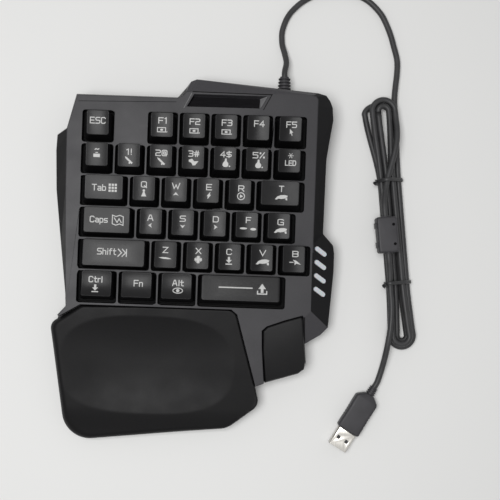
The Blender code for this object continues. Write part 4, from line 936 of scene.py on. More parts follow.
@dataclass(frozen=True)
class Cable:
    """The cable: a lead from the rear, a tied hank, a ferrite and a tail to the plug."""

    diameter: float = 0.0036
    gap: float = 0.0003
    desk_gap: float = 0.00002
    resolution: int = 5
    spacing: float = 0.0016
    lead: tuple[Place, ...] = (
        (0.0536, 0.1270, 0.0070), (0.0525, 0.1340, 0.0035),
        (0.0508, 0.1410, 0.0019), (0.0510, 0.1500, 0.0019), (0.0560, 0.1610, 0.0019),
        (0.0680, 0.1710, 0.0019), (0.0850, 0.1753, 0.0019), (0.1010, 0.1720, 0.0019),
        (0.1120, 0.1630, 0.0019), (0.1180, 0.1520, 0.0019), (0.1216, 0.1410, 0.0020),
        (0.1240, 0.1300, 0.0024),
    )
    tail: tuple[Place, ...] = (
        (-0.0052, -0.0310, 0.0122), (-0.0056, -0.0390, 0.0111), (-0.0058, -0.0520, 0.0110),
        (-0.0074, -0.0640, 0.0110), (-0.0096, -0.0735, 0.0100), (-0.0116, -0.0815, 0.0080),
        (-0.0138, -0.0890, 0.0056),
    )
    hank_centre: Point = (0.1224, 0.0290)
    hank_turn: float = math.radians(6.3)
    loops: int = 3
    loop_points: int = 192
    arc_share: float = 7 / 24
    pitch: float = 0.0038
    base: float = 0.0032
    straight: float = 0.0700
    lobe: float = 0.0080
    waist: float = 0.0065
    loose: Point = (0.0052, 0.0010)
    loose_turns: tuple[float, float, float, float] = (0.53, 0.615, 0.615, 0.89)
    ties: Point = (0.0265, -0.0373)
    crossing_points: int = 24
    crossing_share: float = 0.15
    lifted_share: float = 0.40
    rise_share: float = 0.70
    ferrite_place: Point = (-0.0055, -0.0077)
    ferrite_length: float = 0.0220
    ferrite_height: float = 0.0090
    plug_start: Point = (0.1141, -0.0731)
    plug_turn: float = math.radians(-30.5)
    plug_height: float = 0.0041

    @property
    def radius(self) -> float:
        """Radius of the cable."""
        return self.diameter / 2

    def hank(self) -> Matrix:
        """Frame of the hank: X across it and Y along it."""
        return (LAYOUT.desk() @ Matrix.Translation((*self.hank_centre, 0.0))
                @ Matrix.Rotation(self.hank_turn, 4, "Z"))

    def plug(self) -> Matrix:
        """Frame of the plug: its axis runs from the neck along -Y."""
        return (LAYOUT.desk() @ Matrix.Translation((*self.plug_start, self.plug_height))
                @ Matrix.Rotation(self.plug_turn, 4, "Z"))

    def half_width(self, along: float) -> float:
        """Half width of the outermost loop by place along the hank, drawn in at the ties."""
        upper, lower = self.ties
        outside = max(along - upper, lower - along)
        return self.waist + (self.lobe - self.waist) * ease(outside / (self.straight - upper))

    def layer_height(self, turn: float) -> float:
        """Height of the cable by loops run: it climbs a layer in the middle half turn."""
        return self.base + self.pitch * ease((turn - self.loops / 2 + 0.25) / 0.5)

    def loop_point(self, turn: float) -> Vector:
        """Place of the cable after a number of loops.

        Args:
            turn: Loops run since the start.

        Returns:
            The place in the hank's frame.
        """
        inset = self.pitch * (self.loops / 2 - abs(turn - self.loops / 2))
        arc = self.arc_share / 2
        run = 0.25 - arc
        phase = (turn + 0.25) % 1.0 - 0.25
        side = 1.0 if phase < 0.25 else -1.0
        local = phase if phase < 0.25 else phase - 0.5
        if abs(local) <= run:
            along = -side * self.straight * local / run
            across = side * (self.half_width(along) - inset)
            return self.loosened(Vector((across, along, self.layer_height(turn))), turn)
        end = -side if local > 0.0 else side
        angle = (abs(local) - run) / (2 * arc) * math.pi
        radius = self.lobe - inset
        across = side * radius * math.cos(angle)
        along = end * (self.straight + radius * math.sin(angle))
        return self.loosened(Vector((across, along, self.layer_height(turn))), turn)

    def loosened(self, place: Vector, turn: float) -> Vector:
        """Pull the first loop's upper left out of the bundle and down a little."""
        start, full, steady, end = self.loose_turns
        share = ease(between(turn, start, full)) * ease(between(turn, end, steady))
        return place - Vector((self.loose[0] * share, self.loose[1] * share, 0.0))

    def ferrite_centre(self) -> Vector:
        """Centre of the ferrite in the hank's frame: it lies on the upper layer."""
        x, y = self.ferrite_place
        top = self.base + self.pitch + self.radius
        return Vector((x, y, top + 2 * self.gap + self.ferrite_height / 2))

    def hank_points(self) -> list[Vector]:
        """List the hank's loops and its way over the bundle into the ferrite.

        Returns:
            Points in the hank's frame.
        """
        start = -0.25 + self.arc_share / 2
        count = self.loops * self.loop_points
        points = [self.loop_point(start + index / self.loop_points) for index in range(count + 1)]
        centre = self.ferrite_centre()
        entry = Vector((centre.x, centre.y + self.ferrite_length / 2 + self.gap, centre.z))
        straight = entry + Vector((0.0, self.diameter, 0.0))
        leave = points[-1]
        for index in range(1, self.crossing_points):
            share = index / self.crossing_points
            along = leave.y + (straight.y - leave.y) * share
            swing = ease(between(share, self.crossing_share, 1.0))
            lifted = leave.z + self.pitch * ease(share / self.lifted_share)
            rise = straight.z - leave.z - self.pitch
            height = lifted + rise * ease(between(share, self.rise_share, 1.0))
            points.append(Vector((leave.x + (straight.x - leave.x) * swing, along, height)))
        return points + [straight, entry]

    def relief_tip(self) -> Vector:
        """Place where the cable leaves its strain relief."""
        low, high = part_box("strain_relief")
        return Vector(((low.x + high.x) / 2, high.y, (low.z + high.z) / 2))

    def route(self) -> list[Vector]:
        """List the whole route from the strain relief to the plug.

        Returns:
            Points in the row frame, evenly smoothed.
        """
        desk, hank, plug = LAYOUT.desk(), self.hank(), self.plug()
        tip = self.relief_tip()
        loops = [hank @ point for point in self.hank_points()]
        back = (loops[0] - loops[1]).normalized()
        knots = [tip, tip + Vector((0.0, self.diameter, 0.0))]
        knots += [desk @ Vector(point) for point in self.lead]
        knots.append(loops[0] + back * self.diameter)
        points = smooth_line(knots, self.spacing, (Vector((0.0, 1.0, 0.0)), -back))
        points += loops
        leave = self.ferrite_centre() - Vector((0.0, self.ferrite_length / 2 + self.gap, 0.0))
        after = [hank @ leave, hank @ (leave - Vector((0.0, self.diameter, 0.0)))]
        after += [hank @ Vector(point) for point in self.tail]
        after += [plug @ Vector((0.0, self.diameter, 0.0)), plug @ Vector((0.0, 0.0, 0.0))]
        axis = (after[-1] - after[-2]).normalized()
        along = (after[1] - after[0]).normalized()
        points += smooth_line(after, self.spacing, (along, axis))
        for point in points:
            point.z = max(point.z, self.radius + self.desk_gap)
        return points

    def build(self, with_pieces: Sequence[Piece]) -> None:
        """Args:
            with_pieces: Pieces that the cable carries; not used.
        """
        points = self.route()
        curve = bpy.data.curves.new("usb_cable", "CURVE")
        curve.dimensions = "3D"
        curve.bevel_depth = self.radius
        curve.bevel_resolution = self.resolution
        curve.use_fill_caps = True
        spline = curve.splines.new("POLY")
        spline.points.add(len(points) - 1)
        for point, place in zip(spline.points, points):
            point.co = (*place, 1.0)
        curve.materials.append(JACKET.material())
        made = seat_piece(add_object("usb_cable", curve),
                          Fitting("cord_black", ("cable_lead", "cable_hank", "cable_tail")))
        length = sum((b - a).length for a, b in zip(points, points[1:]))
        LOG.info("cable length %.3f m", length)


def smooth_line(knots: Sequence[Vector], spacing: float, ends: tuple[Vector, Vector]) -> list[Vector]:
    """Run a smooth curve through knots.

    Args:
        knots: Points that the curve passes.
        spacing: Distance between the points made.
        ends: Directions at the first and the last knot.

    Returns:
        Points along the curve.
    """
    headings = [ends[0].normalized()]
    headings += [(after - before).normalized() for before, after in zip(knots, knots[2:])]
    headings.append(ends[1].normalized())
    points = []
    for start, end, leaving, arriving in zip(knots, knots[1:], headings, headings[1:]):
        reach = (end - start).length
        count = max(1, round(reach / spacing))
        for step in range(count):
            t = step / count
            pull_out, pull_in = t ** 3 - 2 * t ** 2 + t, t ** 3 - t ** 2
            points.append(start * (2 * t ** 3 - 3 * t ** 2 + 1) + leaving * reach * pull_out
                          + end * (3 * t ** 2 - 2 * t ** 3) + arriving * reach * pull_in)
    return points + [knots[-1]]


CABLE = Cable()


@dataclass(frozen=True)
class StrainRelief:
    """Ribbed boot where the cable leaves the rear wall."""

    radius: float = 0.0042
    neck: float = 0.0036
    groove: float = 0.0028
    ribs: int = 5
    rib_share: float = 0.58
    length: float = 0.0100
    flange: float = 0.0014
    flange_radius: float = 0.0045
    sides: int = 40
    edge: float = 0.0003

    def build(self) -> Piece:
        """Turn the boot with rounded ribs and a tapered tip.

        Returns:
            The boot.
        """
        low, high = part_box("strain_relief")
        start = Vector(((low.x + high.x) / 2, low.y, (low.z + high.z) / 2))
        total = high.y - low.y
        first = total - self.length
        edge = self.edge
        profile = [(0.0, self.flange_radius - edge), (edge, self.flange_radius),
                   (self.flange - edge, self.flange_radius), (self.flange, self.flange_radius - edge),
                   (self.flange, self.neck), (first, self.neck)]
        step = self.length / self.ribs
        for index in range(self.ribs):
            top = self.radius - (self.radius - self.neck) * index / self.ribs
            place = first + index * step
            wide = self.rib_share * step
            profile += [(place, self.groove), (place + edge / 2, top - edge), (place + edge, top),
                        (place + wide - edge, top), (place + wide - edge / 2, top - edge),
                        (place + wide, self.groove)]
        profile += [(total, self.groove), (total, CABLE.radius)]
        bm = bmesh.new()
        axis = Matrix.Translation(start) @ Matrix.Rotation(-math.pi / 2, 4, "X")
        turned_profile(bm, profile, self.sides, axis)
        return make_piece("cable_boot", bm, Matrix.Identity(4), (PLUG_GRIP,),
                          Fitting("cord_black", ("strain_relief",)), EVEN)


@dataclass(frozen=True)
class FerriteChoke:
    """Clip-on ferrite: two moulded halves with latches, collars and two dark pips."""

    width: float = 0.0125
    length: float = CABLE.ferrite_length
    height: float = CABLE.ferrite_height
    edge: float = 0.0014
    edge_steps: int = 6
    seam: float = 0.0004
    latch_along: float = 0.27
    latch_width: float = 0.0034
    latch_depth: float = 0.0007
    latch_height: float = 0.28
    latch_taper: Point = (0.985, 1.1)
    collar_radius: float = 1.5
    collar_lip: Point = (1.6, 0.9)
    collar_sides: int = 28
    pip_across: float = 0.30
    pip_radius: float = 0.0009
    pip_rise: float = 0.62
    pip_rim: float = 0.7
    pip_bed: Point = (0.5, 0.0001)
    pip_sides: int = 16

    def build(self) -> Piece:
        """Make the shell with its seam, collars, latches and moulding pips.

        Returns:
            The choke.
        """
        bm = bmesh.new()
        half = self.height / 2
        angles = [math.pi / 2 * step / self.edge_steps for step in range(self.edge_steps + 1)]
        upper = [(half - self.edge * (1 - math.sin(a)), self.edge * (1 - math.cos(a))) for a in angles]
        seam = [(self.seam / 2, self.seam), (self.seam, 0.0)]
        halves = [(-z, inset) for z, inset in reversed(seam + upper)] + seam + upper
        stack(bm, [ring(bm, self.outline(inset), level_at(z)) for z, inset in halves])
        for end in (-1, 1):
            self.add_collar(bm, end)
            self.add_latch(bm, end * self.latch_along * self.length)
            self.add_pip(bm, end * self.latch_along * self.length)
        matrix = CABLE.hank() @ Matrix.Translation(CABLE.ferrite_centre())
        return make_piece("ferrite_shell", bm, matrix, (PLUG_GRIP, SHADE_AND_PIP_BLACK),
                          Fitting("cord_black", ("ferrite_choke",)), EVEN)

    def outline(self, inset: float) -> list[Point]:
        """Outline of the shell seen from above, drawn in by an inset."""
        return rounded_box(self.width - 2 * inset, self.length - 2 * inset, self.edge, self.edge_steps)

    def add_collar(self, bm: Mesh, end: int) -> None:
        """Add the round collar that grips the cable at one end."""
        outer = CABLE.radius * self.collar_radius
        reach = self.length / 2
        tip = reach + self.seam * self.collar_lip[0]
        profile = [(reach - self.edge, outer), (reach + self.seam, outer),
                   (tip, outer * self.collar_lip[1]), (tip, CABLE.radius)]
        turned_profile(bm, profile, self.collar_sides, Matrix.Rotation(-end * math.pi / 2, 4, "X"))

    def add_pip(self, bm: Mesh, along: float) -> None:
        """Add one dark moulding pip on the face, with a hollow in it."""
        shell_faces = len(bm.faces)
        tall, radius = self.edge * self.pip_rise, self.pip_radius
        profile = [(0.0, radius), (tall, radius), (tall, radius * self.pip_rim),
                   (self.edge * self.pip_bed[0], self.pip_bed[1])]
        seat = (self.pip_across * self.width, along, (self.height - self.edge) / 2)
        turned_profile(bm, profile, self.pip_sides, Matrix.Translation(seat))
        bm.faces.ensure_lookup_table()
        for face in bm.faces[shell_faces:]:
            face.material_index = 1

    def add_latch(self, bm: Mesh, along: float) -> None:
        """Add one latch tongue on the left side."""
        x = -self.width / 2
        half = self.latch_width / 2
        outline = rectangle(x - self.latch_depth, x + self.latch_depth, along - half, along + half)
        tall = self.height * self.latch_height
        drawn_in, longer = self.latch_taper
        soft = [(px * drawn_in, py) for px, py in outline]
        levels = ((soft, -tall * longer), (outline, -tall), (outline, tall), (soft, tall * longer))
        stack(bm, [ring(bm, points, level_at(height)) for points, height in levels])


@dataclass(frozen=True)
class TwistTie:
    """Flat tie drawn round the strands, with its two ends twisted together."""

    name: str
    node: str
    along: float
    width: float = 0.0022
    thickness: float = 0.0008
    edge_share: float = 0.3
    sides: int = 72
    tail_length: float = 0.0030
    tail_turns: float = 0.75
    tail_radius: float = 0.0009
    tail_steps: int = 40
    tail_sides: int = 8
    tail_heading: Place = (-0.55, -0.80, -0.25)
    tail_lean: float = 0.6
    tail_swirl: float = 1.05
    tail_tip: float = 0.6
    splay_start: float = 0.7
    splay: float = 0.9

    def build(self) -> Piece:
        """Make the band and its twisted ends.

        Returns:
            The tie.
        """
        bm = bmesh.new()
        inside = CABLE.radius + CABLE.gap
        outside = inside + self.thickness
        edge = self.thickness * self.edge_share
        half = self.width / 2
        section = ((inside, edge - half), (inside, half - edge), (inside + edge, half),
                   (outside - edge, half), (outside, half - edge), (outside, edge - half),
                   (outside - edge, -half), (inside + edge, -half))
        rings = [[bm.verts.new((x, self.along + end, z)) for x, z in self.outline(gap)]
                 for gap, end in section]
        for index, here in enumerate(rings):
            bridge(bm, here, rings[(index + 1) % len(rings)])
        for strand in (0, 1):
            self.add_end(bm, strand)
        return make_piece(self.name, bm, CABLE.hank(), (TIE,), Fitting("foot_rubber", (self.node,)), ROUND)

    def outline(self, gap: float) -> list[Point]:
        """Outline of a band round the strands, over their heights.

        Args:
            gap: Distance from the strands' centrelines.

        Returns:
            Points across and up.
        """
        spots = []
        for strand in (CABLE.hank_points(), [Vector(point) for point in CABLE.tail]):
            for a, b in zip(strand, strand[1:]):
                steps = max(1, math.ceil((b - a).length / CABLE.radius))
                run = [a.lerp(b, step / steps) for step in range(steps + 1)]
                spots += [(spot.x, spot.z) for spot in run if abs(spot.y - self.along) < self.width]
        points = []
        for cosine, sine in circle(1.0, self.sides):
            x, z = max(spots, key=lambda spot: spot[0] * cosine + spot[1] * sine)
            points.append((x + gap * cosine, z + gap * sine))
        return points

    def add_end(self, bm: Mesh, strand: int) -> None:
        """Add one of the two twisted ends, lying over the left of the bundle."""
        outline = self.outline(CABLE.radius + CABLE.gap + self.thickness)
        x, z = min(outline, key=lambda point: point[0] - point[1] * self.tail_lean)
        root = Vector((x, self.along, z))
        heading = Vector(self.tail_heading).normalized()
        side = heading.cross(Vector((0.0, 0.0, 1.0))).normalized()
        lift = side.cross(heading)
        rings = []
        for step in range(self.tail_steps + 1):
            share = step / self.tail_steps
            angle = 2 * math.pi * self.tail_turns * share + strand * math.pi
            splay = 1.0 + self.splay * ease(between(share, self.splay_start, 1.0))
            swirl = self.tail_radius * self.tail_swirl * splay
            centre = (root + heading * (self.tail_length * share)
                      + (side * math.cos(angle) + lift * math.sin(angle)) * swirl)
            thick = self.tail_radius * (self.tail_tip if step in (0, self.tail_steps) else 1.0)
            rings.append([bm.verts.new(centre + (side * c + lift * s) * thick)
                          for c, s in circle(1.0, self.tail_sides)])
        stack(bm, rings)


@dataclass(frozen=True)
class PlugGrip:
    """Moulded grip of the plug with its ringed neck, side grips and tongue."""

    neck_length: float = 0.0050
    neck_radius: float = 0.0029
    neck_start: float = 0.88
    neck_rings: int = 4
    neck_profile: tuple[Point, ...] = ((0.0, 0.80), (0.08, 0.96), (0.16, 1.0), (0.52, 1.0),
                                       (0.60, 0.96), (0.68, 0.80), (0.98, 0.80))
    body_length: float = 0.0262
    body_width: float = 0.0146
    body_height: float = 0.0076
    body_radius: float = 0.0018
    shoulder: float = 0.0046
    shoulder_steps: int = 8
    shoulder_power: float = 0.8
    shoulder_round: float = 0.0010
    neck_share: Point = (0.48, 0.74)
    grooves: int = 5
    groove_start: float = 0.42
    groove_step: float = 0.07
    groove_width: float = 0.975
    groove_places: tuple[float, ...] = (0.0, 0.0003, 0.0009, 0.0012)
    end_round: tuple[Point, ...] = ((0.0, 0.0010), (0.00015, 0.0005), (0.0004, 0.0002), (0.0008, 0.0))
    shell_length: float = 0.0118
    shell_width: float = 0.0120
    shell_height: float = 0.0045
    shell_wall: float = 0.0004
    shell_edge: float = 0.00015
    tongue_height: float = 0.0018
    tongue_share: float = 0.80
    contact_shares: tuple[float, ...] = (0.78, 0.72, 0.72, 0.78)
    contact_pitch: float = 0.0022
    contact_width: float = 0.0010
    contact_start: float = 0.0010
    contact_rise: float = 0.0001
    sharp: float = 36.0
    corner_steps: int = 8

    def build(self) -> list[Piece]:
        """Make the grip, the insulating tongue with its contacts, and the metal shell.

        Returns:
            The pieces of the plug.
        """
        return [self.grip(), self.tongue(), self.shell()]

    def grip(self) -> Piece:
        """Loft the grip from the neck to its end face."""
        bm = bmesh.new()
        stations = self.neck_stations()
        start = self.neck_length
        end = start + self.body_length
        for step in range(1, self.shoulder_steps + 1):
            share = step / self.shoulder_steps
            wide = ease(share) ** self.shoulder_power
            across, up = (least + (1.0 - least) * wide for least in self.neck_share)
            outline = self.section(self.body_width * across, self.body_height * up,
                                   self.shoulder_round * (1.0 - wide))
            stations.append((outline, start + self.shoulder * share))
        full = self.section(self.body_width, self.body_height)
        waist = self.section(self.body_width * self.groove_width, self.body_height)
        for index in range(self.grooves):
            place = start + self.body_length * (self.groove_start + self.groove_step * index)
            stations += [(outline, place + further) for outline, further
                         in zip((full, waist, waist, full), self.groove_places)]
        for inset, back in self.end_round:
            outline = self.section(self.body_width - 2 * inset, self.body_height - 2 * inset)
            stations.append((outline, end - back))
        rings = [[bm.verts.new((x, -along, z)) for x, z in outline] for outline, along in stations]
        stack(bm, rings)
        return make_piece("plug_grip", bm, CABLE.plug(), (PLUG_GRIP,),
                          Fitting("cord_black", ("usb_plug_body",)), self.sharp)

    def section(self, width: float, height: float, rounder: float = 0.0) -> list[Point]:
        """Outline of the grip across its axis."""
        return rounded_box(width, height, self.body_radius + rounder, self.corner_steps)

    def neck_stations(self) -> list[tuple[list[Point], float]]:
        """List the rings of the flexible neck as outlines and places."""
        sides = 4 * (self.corner_steps + 1)
        neck = circle(1.0, sides)
        shift = sides // 2 + sides // 8
        neck = neck[shift:] + neck[:shift]
        stations = []
        step = self.neck_length / self.neck_rings
        for index in range(self.neck_rings):
            growth = (1.0 - self.neck_start) * index / self.neck_rings
            for share, size in self.neck_profile:
                radius = self.neck_radius * (self.neck_start + growth) * size
                stations.append(([(x * radius, z * radius) for x, z in neck], (index + share) * step))
        return stations

    def tongue(self) -> Piece:
        """Make the insulating tongue and its four contacts inside the shell."""
        bm = bmesh.new()
        end = self.neck_length + self.body_length
        room = self.shell_width / 2 - self.shell_wall - CABLE.gap
        high = self.shell_height / 2 - self.shell_wall - CABLE.gap
        low = high - self.tongue_height
        front = -end - self.shell_length * self.tongue_share
        outline = rectangle(-room, room, front, -end - CABLE.gap)
        stack(bm, [ring(bm, outline, level_at(low)), ring(bm, outline, level_at(high))])
        half = self.contact_width / 2
        stop = -end - self.contact_start
        for index, share in enumerate(self.contact_shares):
            x = (index - (len(self.contact_shares) - 1) / 2) * self.contact_pitch
            pad = rectangle(x - half, x + half, -end - self.shell_length * share, stop)
            lower, upper = (ring(bm, pad, level_at(low - drop)) for drop in (self.contact_rise, 0.0))
            bridge(bm, lower, upper, 1)
            for face in (lower, upper):
                bm.faces.new(face).material_index = 1
        return make_piece("plug_tongue", bm, CABLE.plug(), (PLUG_GRIP, GOLD), Fitting("cord_black"), EVEN)

    def shell(self) -> Piece:
        """Round the edges of the drawn metal shell."""
        bm = carried_mesh("usb_shell")
        made = make_piece("plug_shell", bm, Matrix.Identity(4), (NICKEL,),
                          Fitting("plug_metal", ("usb_shell",)), CRISP)
        soften(made, self.shell_edge, 2, CRISP)
        return made


# Keys


@dataclass(frozen=True)
class Drawing:
    """A mark in a square from -1 to 1: filled outlines, closed lines and open lines."""

    fills: Sequence[Outline] = ()
    loops: Sequence[Outline] = ()
    lines: Sequence[Outline] = ()


def disc(radius: float, x: float = 0.0, y: float = 0.0, squash: float = 1.0, sides: int = 20) -> Outline:
    """Outline of a disc or, squashed, of an oval."""
    return [(x + px, y + py * squash) for px, py in circle(radius, sides)]


ARROW = ((-0.85, -0.62), (0.0, -0.28), (0.85, -0.62), (0.0, 0.72))


class Icon(Enum):
    """Generic marks that stand beside the letters, each with its drawing."""

    SCREEN = Drawing((disc(0.30, -0.12), ((0.72, -0.72), (1.0, -0.72), (1.0, -0.30))),
                     (rectangle(-0.95, 0.66, -0.62, 0.62),))
    CURSOR = Drawing((((-0.5, 0.95), (0.62, -0.02), (0.16, -0.10), (0.42, -0.82), (0.16, -0.92),
                       (-0.10, -0.22), (-0.5, -0.48)),))
    BLOCK = Drawing((rectangle(-0.78, 0.78, -0.55, 0.40), rectangle(-0.3, 0.3, 0.62, 0.86)))
    PENCIL = Drawing((((-0.95, 0.95), (-0.72, 0.42), (0.62, -0.88), (0.92, -0.58), (-0.42, 0.72)),
                      ((-0.10, -0.62), (0.16, -0.90), (0.42, -0.62), (0.16, -0.36))))
    BOLT = Drawing((((-0.95, 0.62), (-0.30, 0.92), (0.10, 0.20), (0.92, 0.30), (0.30, -0.88),
                     (-0.16, -0.96), (-0.42, -0.20), (-0.92, 0.06)),))
    FLASK = Drawing((((-0.16, 0.95), (0.20, 0.95), (0.24, 0.36), (0.62, -0.20), (0.56, -0.78),
                      (0.16, -0.98), (-0.36, -0.96), (-0.70, -0.62), (-0.62, -0.12), (-0.24, 0.36)),
                     disc(0.16, 0.86, -0.80)))
    SUN = Drawing((disc(0.30),), (), tuple(zip(circle(0.52, 6), circle(0.92, 6))))
    TILES = Drawing([rectangle(x, x + 0.48, y, y + 0.48) for x in (-0.90, -0.24, 0.42)
                     for y in (-0.90, -0.24, 0.42)])
    CHART = Drawing((), (((-0.95, -0.70), (-0.32, -0.95), (0.32, -0.70), (0.95, -0.95), (0.95, 0.70),
                          (0.32, 0.95), (-0.32, 0.70), (-0.95, 0.95)),),
                    (((-0.62, 0.42), (-0.1, -0.42), (0.22, 0.30), (0.62, -0.42)),))
    SPEED = Drawing((), (), (((-0.9, 0.8), (-0.15, 0.0), (-0.9, -0.8)),
                             ((0.0, 0.8), (0.75, 0.0), (0.0, -0.8)), ((0.92, 0.8), (0.92, -0.8))))
    UP = Drawing((ARROW,))
    LEFT = Drawing((quarter_turned(ARROW, 1),))
    DOWN = Drawing((quarter_turned(ARROW, 2),))
    RIGHT = Drawing((quarter_turned(ARROW, 3),))
    PAWN = Drawing((disc(0.34, 0.0, 0.58), ((-0.72, -0.92), (0.72, -0.92), (0.50, -0.52),
                                            (0.22, 0.22), (-0.22, 0.22), (-0.50, -0.52))))
    SPARK = Drawing((((0.42, 0.95), (0.30, 0.22), (0.62, 0.10), (-0.40, -0.98), (-0.30, -0.28),
                      (-0.62, -0.16)),))
    PLAY = Drawing((((-0.26, 0.44), (-0.26, -0.44), (0.50, 0.0)),), (disc(0.85),))
    LEAF = Drawing((((-1.0, -0.62), (-0.62, 0.22), (-0.10, 0.62), (0.55, 0.70), (1.0, 0.48),
                     (0.92, 0.05), (0.50, -0.35), (0.0, -0.50), (-0.42, -0.42), (-0.72, -0.72)),
                    ((0.62, -0.30), (0.92, -0.10), (0.96, -0.82), (0.72, -0.82))))
    PAIR = Drawing((disc(0.46, -0.60, 0.10, 0.62), disc(0.36, 0.62, -0.05)))
    LENS = Drawing((((-1.0, 0.10), (-0.50, 0.26), (0.10, 0.24), (0.62, 0.05), (1.0, -0.22),
                     (0.40, -0.30), (-0.30, -0.22), (-0.72, -0.05)),))
    PLUS = Drawing((cross(0.95, 0.28),))
    LOWER = Drawing((((-0.72, 0.20), (-0.26, 0.20), (-0.26, 0.95), (0.26, 0.95), (0.26, 0.20),
                      (0.72, 0.20), (0.0, -0.55)), rectangle(-0.78, 0.78, -0.95, -0.68)))
    EYE = Drawing((disc(0.34),), (disc(0.95, 0.0, 0.0, 0.56, 28),))
    DART = Drawing((((0.98, -0.55), (0.20, -0.30), (-0.10, -0.72), (-0.10, 0.10), (-0.42, 0.70),
                     (0.20, 0.45)), rectangle(-1.0, -0.28, -0.10, 0.12)))
    JUMP = Drawing((((-0.72, -0.02), (-0.26, -0.02), (-0.26, -0.72), (0.26, -0.72), (0.26, -0.02),
                     (0.72, -0.02), (0.0, 0.92)),), (),
                   (((-0.85, -0.45), (-0.85, -0.92), (0.85, -0.92), (0.85, -0.45)),))
    BAR = Drawing((rectangle(-1.0, 1.0, -0.035, 0.035),))


# Letters as lines, on a grid that is four wide and six high
LETTER_HEIGHT = 6.0
LETTER_GAP = 1.5
LETTERS: dict[str, tuple[Outline, ...]] = {
    "A": (((0, 0), (1.5, 6), (2.5, 6), (4, 0)), ((0.6, 2), (3.4, 2))),
    "B": (((0, 3.1), (3.2, 3.1), (4, 3.8), (4, 5.3), (3.2, 6), (0, 6), (0, 0), (3.2, 0), (4, 0.8),
           (4, 2.4), (3.2, 3.1)),),
    "C": (((4, 5.0), (3.2, 6), (0.8, 6), (0, 5.2), (0, 0.8), (0.8, 0), (3.2, 0), (4, 1.0)),),
    "D": (((0, 0), (0, 6), (2.9, 6), (4, 4.8), (4, 1.2), (2.9, 0), (0, 0)),),
    "E": (((4, 6), (0, 6), (0, 0), (4, 0)), ((0, 3), (3.5, 3))),
    "F": (((4, 6), (0, 6), (0, 0)), ((0, 3), (3.4, 3))),
    "G": (((4, 5.2), (3.2, 6), (0.8, 6), (0, 5.2), (0, 0.8), (0.8, 0), (4, 0), (4, 2.8), (2.2, 2.8)),),
    "L": (((0, 6), (0, 0), (3.8, 0)),),
    "Q": (((0.8, 0), (3.2, 0), (4, 0.8), (4, 5.2), (3.2, 6), (0.8, 6), (0, 5.2), (0, 0.8), (0.8, 0)),
          ((2.4, 1.6), (4.2, -0.5))),
    "R": (((0, 0), (0, 6), (3.2, 6), (4, 5.2), (4, 3.4), (3.2, 2.7), (0, 2.7)), ((2.2, 2.7), (4, 0))),
    "S": (((4, 6), (0.8, 6), (0, 5.3), (0, 3.8), (0.8, 3.1), (3.2, 3.1), (4, 2.4), (4, 0.7), (3.2, 0),
           (0, 0)),),
    "T": (((0, 6), (4, 6)), ((2, 6), (2, 0))),
    "V": (((0, 6), (2, 0), (4, 6)),),
    "W": (((0, 6), (1.2, 0), (2.4, 4.2), (3.6, 0), (4.8, 6)),),
    "X": (((0, 0), (4, 6)), ((0, 6), (4, 0))),
    "Z": (((0, 6), (4, 6), (0, 0), (4, 0)),),
    "a": (((0.2, 4), (2.4, 4), (3, 3.4), (3, 0), (0.6, 0), (0, 0.6), (0, 1.6), (0.6, 2.2), (3, 2.2)),),
    "b": (((0, 6), (0, 0), (2.4, 0), (3, 0.6), (3, 3.4), (2.4, 4), (0, 4)),),
    "f": (((1, 0), (1, 5.4), (1.6, 6), (2.6, 6)), ((0, 4), (2.4, 4))),
    "h": (((0, 0), (0, 6)), ((0, 4), (2.4, 4), (3, 3.4), (3, 0))),
    "i": (((0.4, 0), (0.4, 3.7)), ((0.4, 5.5), (0.4, 5.8))),
    "l": (((0.4, 0), (0.4, 6)),),
    "n": (((0, 0), (0, 4), (2.4, 4), (3, 3.4), (3, 0)),),
    "p": (((0, -1.8), (0, 4), (2.4, 4), (3, 3.4), (3, 0.6), (2.4, 0), (0, 0)),),
    "r": (((0, 0), (0, 4)), ((0, 3.0), (1, 4), (2.2, 4))),
    "s": (((3, 4), (0.5, 4), (0, 3.5), (0, 2.5), (0.5, 2), (2.5, 2), (3, 1.5), (3, 0.5), (2.5, 0),
           (0, 0)),),
    "t": (((1, 6), (1, 0.6), (1.6, 0), (2.6, 0)), ((0, 4), (2.6, 4))),
    "1": (((0.3, 5.2), (1.4, 6), (1.4, 0)),),
    "2": (((0, 6), (3.2, 6), (4, 5.3), (4, 3.8), (3.2, 3.1), (0.8, 3.1), (0, 2.4), (0, 0), (4, 0)),),
    "3": (((0, 6), (3.2, 6), (4, 5.3), (4, 3.8), (3.2, 3.1), (1, 3.1)),
          ((3.2, 3.1), (4, 2.4), (4, 0.7), (3.2, 0), (0, 0))),
    "4": (((3, 0), (3, 6), (0, 1.9), (4.2, 1.9)),),
    "5": (((4, 6), (0, 6), (0, 3.4), (3.2, 3.4), (4, 2.7), (4, 0.7), (3.2, 0), (0, 0)),),
    "!": (((0.5, 6), (0.5, 2.3)), ((0.5, 0.5), (0.5, 0.1))),
    "@": (((3.0, 1.8), (1.4, 1.8), (1.4, 4.2), (3.0, 4.2), (3.0, 1.4), (4.4, 1.4), (4.4, 5.2), (3.6, 6),
           (0.8, 6), (0, 5.2), (0, 0.8), (0.8, 0), (4, 0)),),
    "#": (((1.0, 0), (1.6, 6)), ((2.8, 0), (3.4, 6)), ((0, 4), (4.2, 4)), ((0, 2), (4.0, 2))),
    "$": (((4, 5.4), (0.8, 5.4), (0, 4.8), (0, 3.8), (0.8, 3.1), (3.2, 3.1), (4, 2.4), (4, 1.3),
           (3.2, 0.6), (0, 0.6)), ((2, 6.4), (2, -0.4))),
    "%": (((0.4, 0), (3.8, 6)), ((0.3, 5.8), (0.9, 5.8), (0.9, 4.8), (0.3, 4.8), (0.3, 5.8)),
          ((3.3, 1.2), (3.9, 1.2), (3.9, 0.2), (3.3, 0.2), (3.3, 1.2))),
    "~": (((0, 4.6), (0.8, 5.6), (1.8, 5.0), (2.8, 4.6), (3.6, 5.6)),),
}


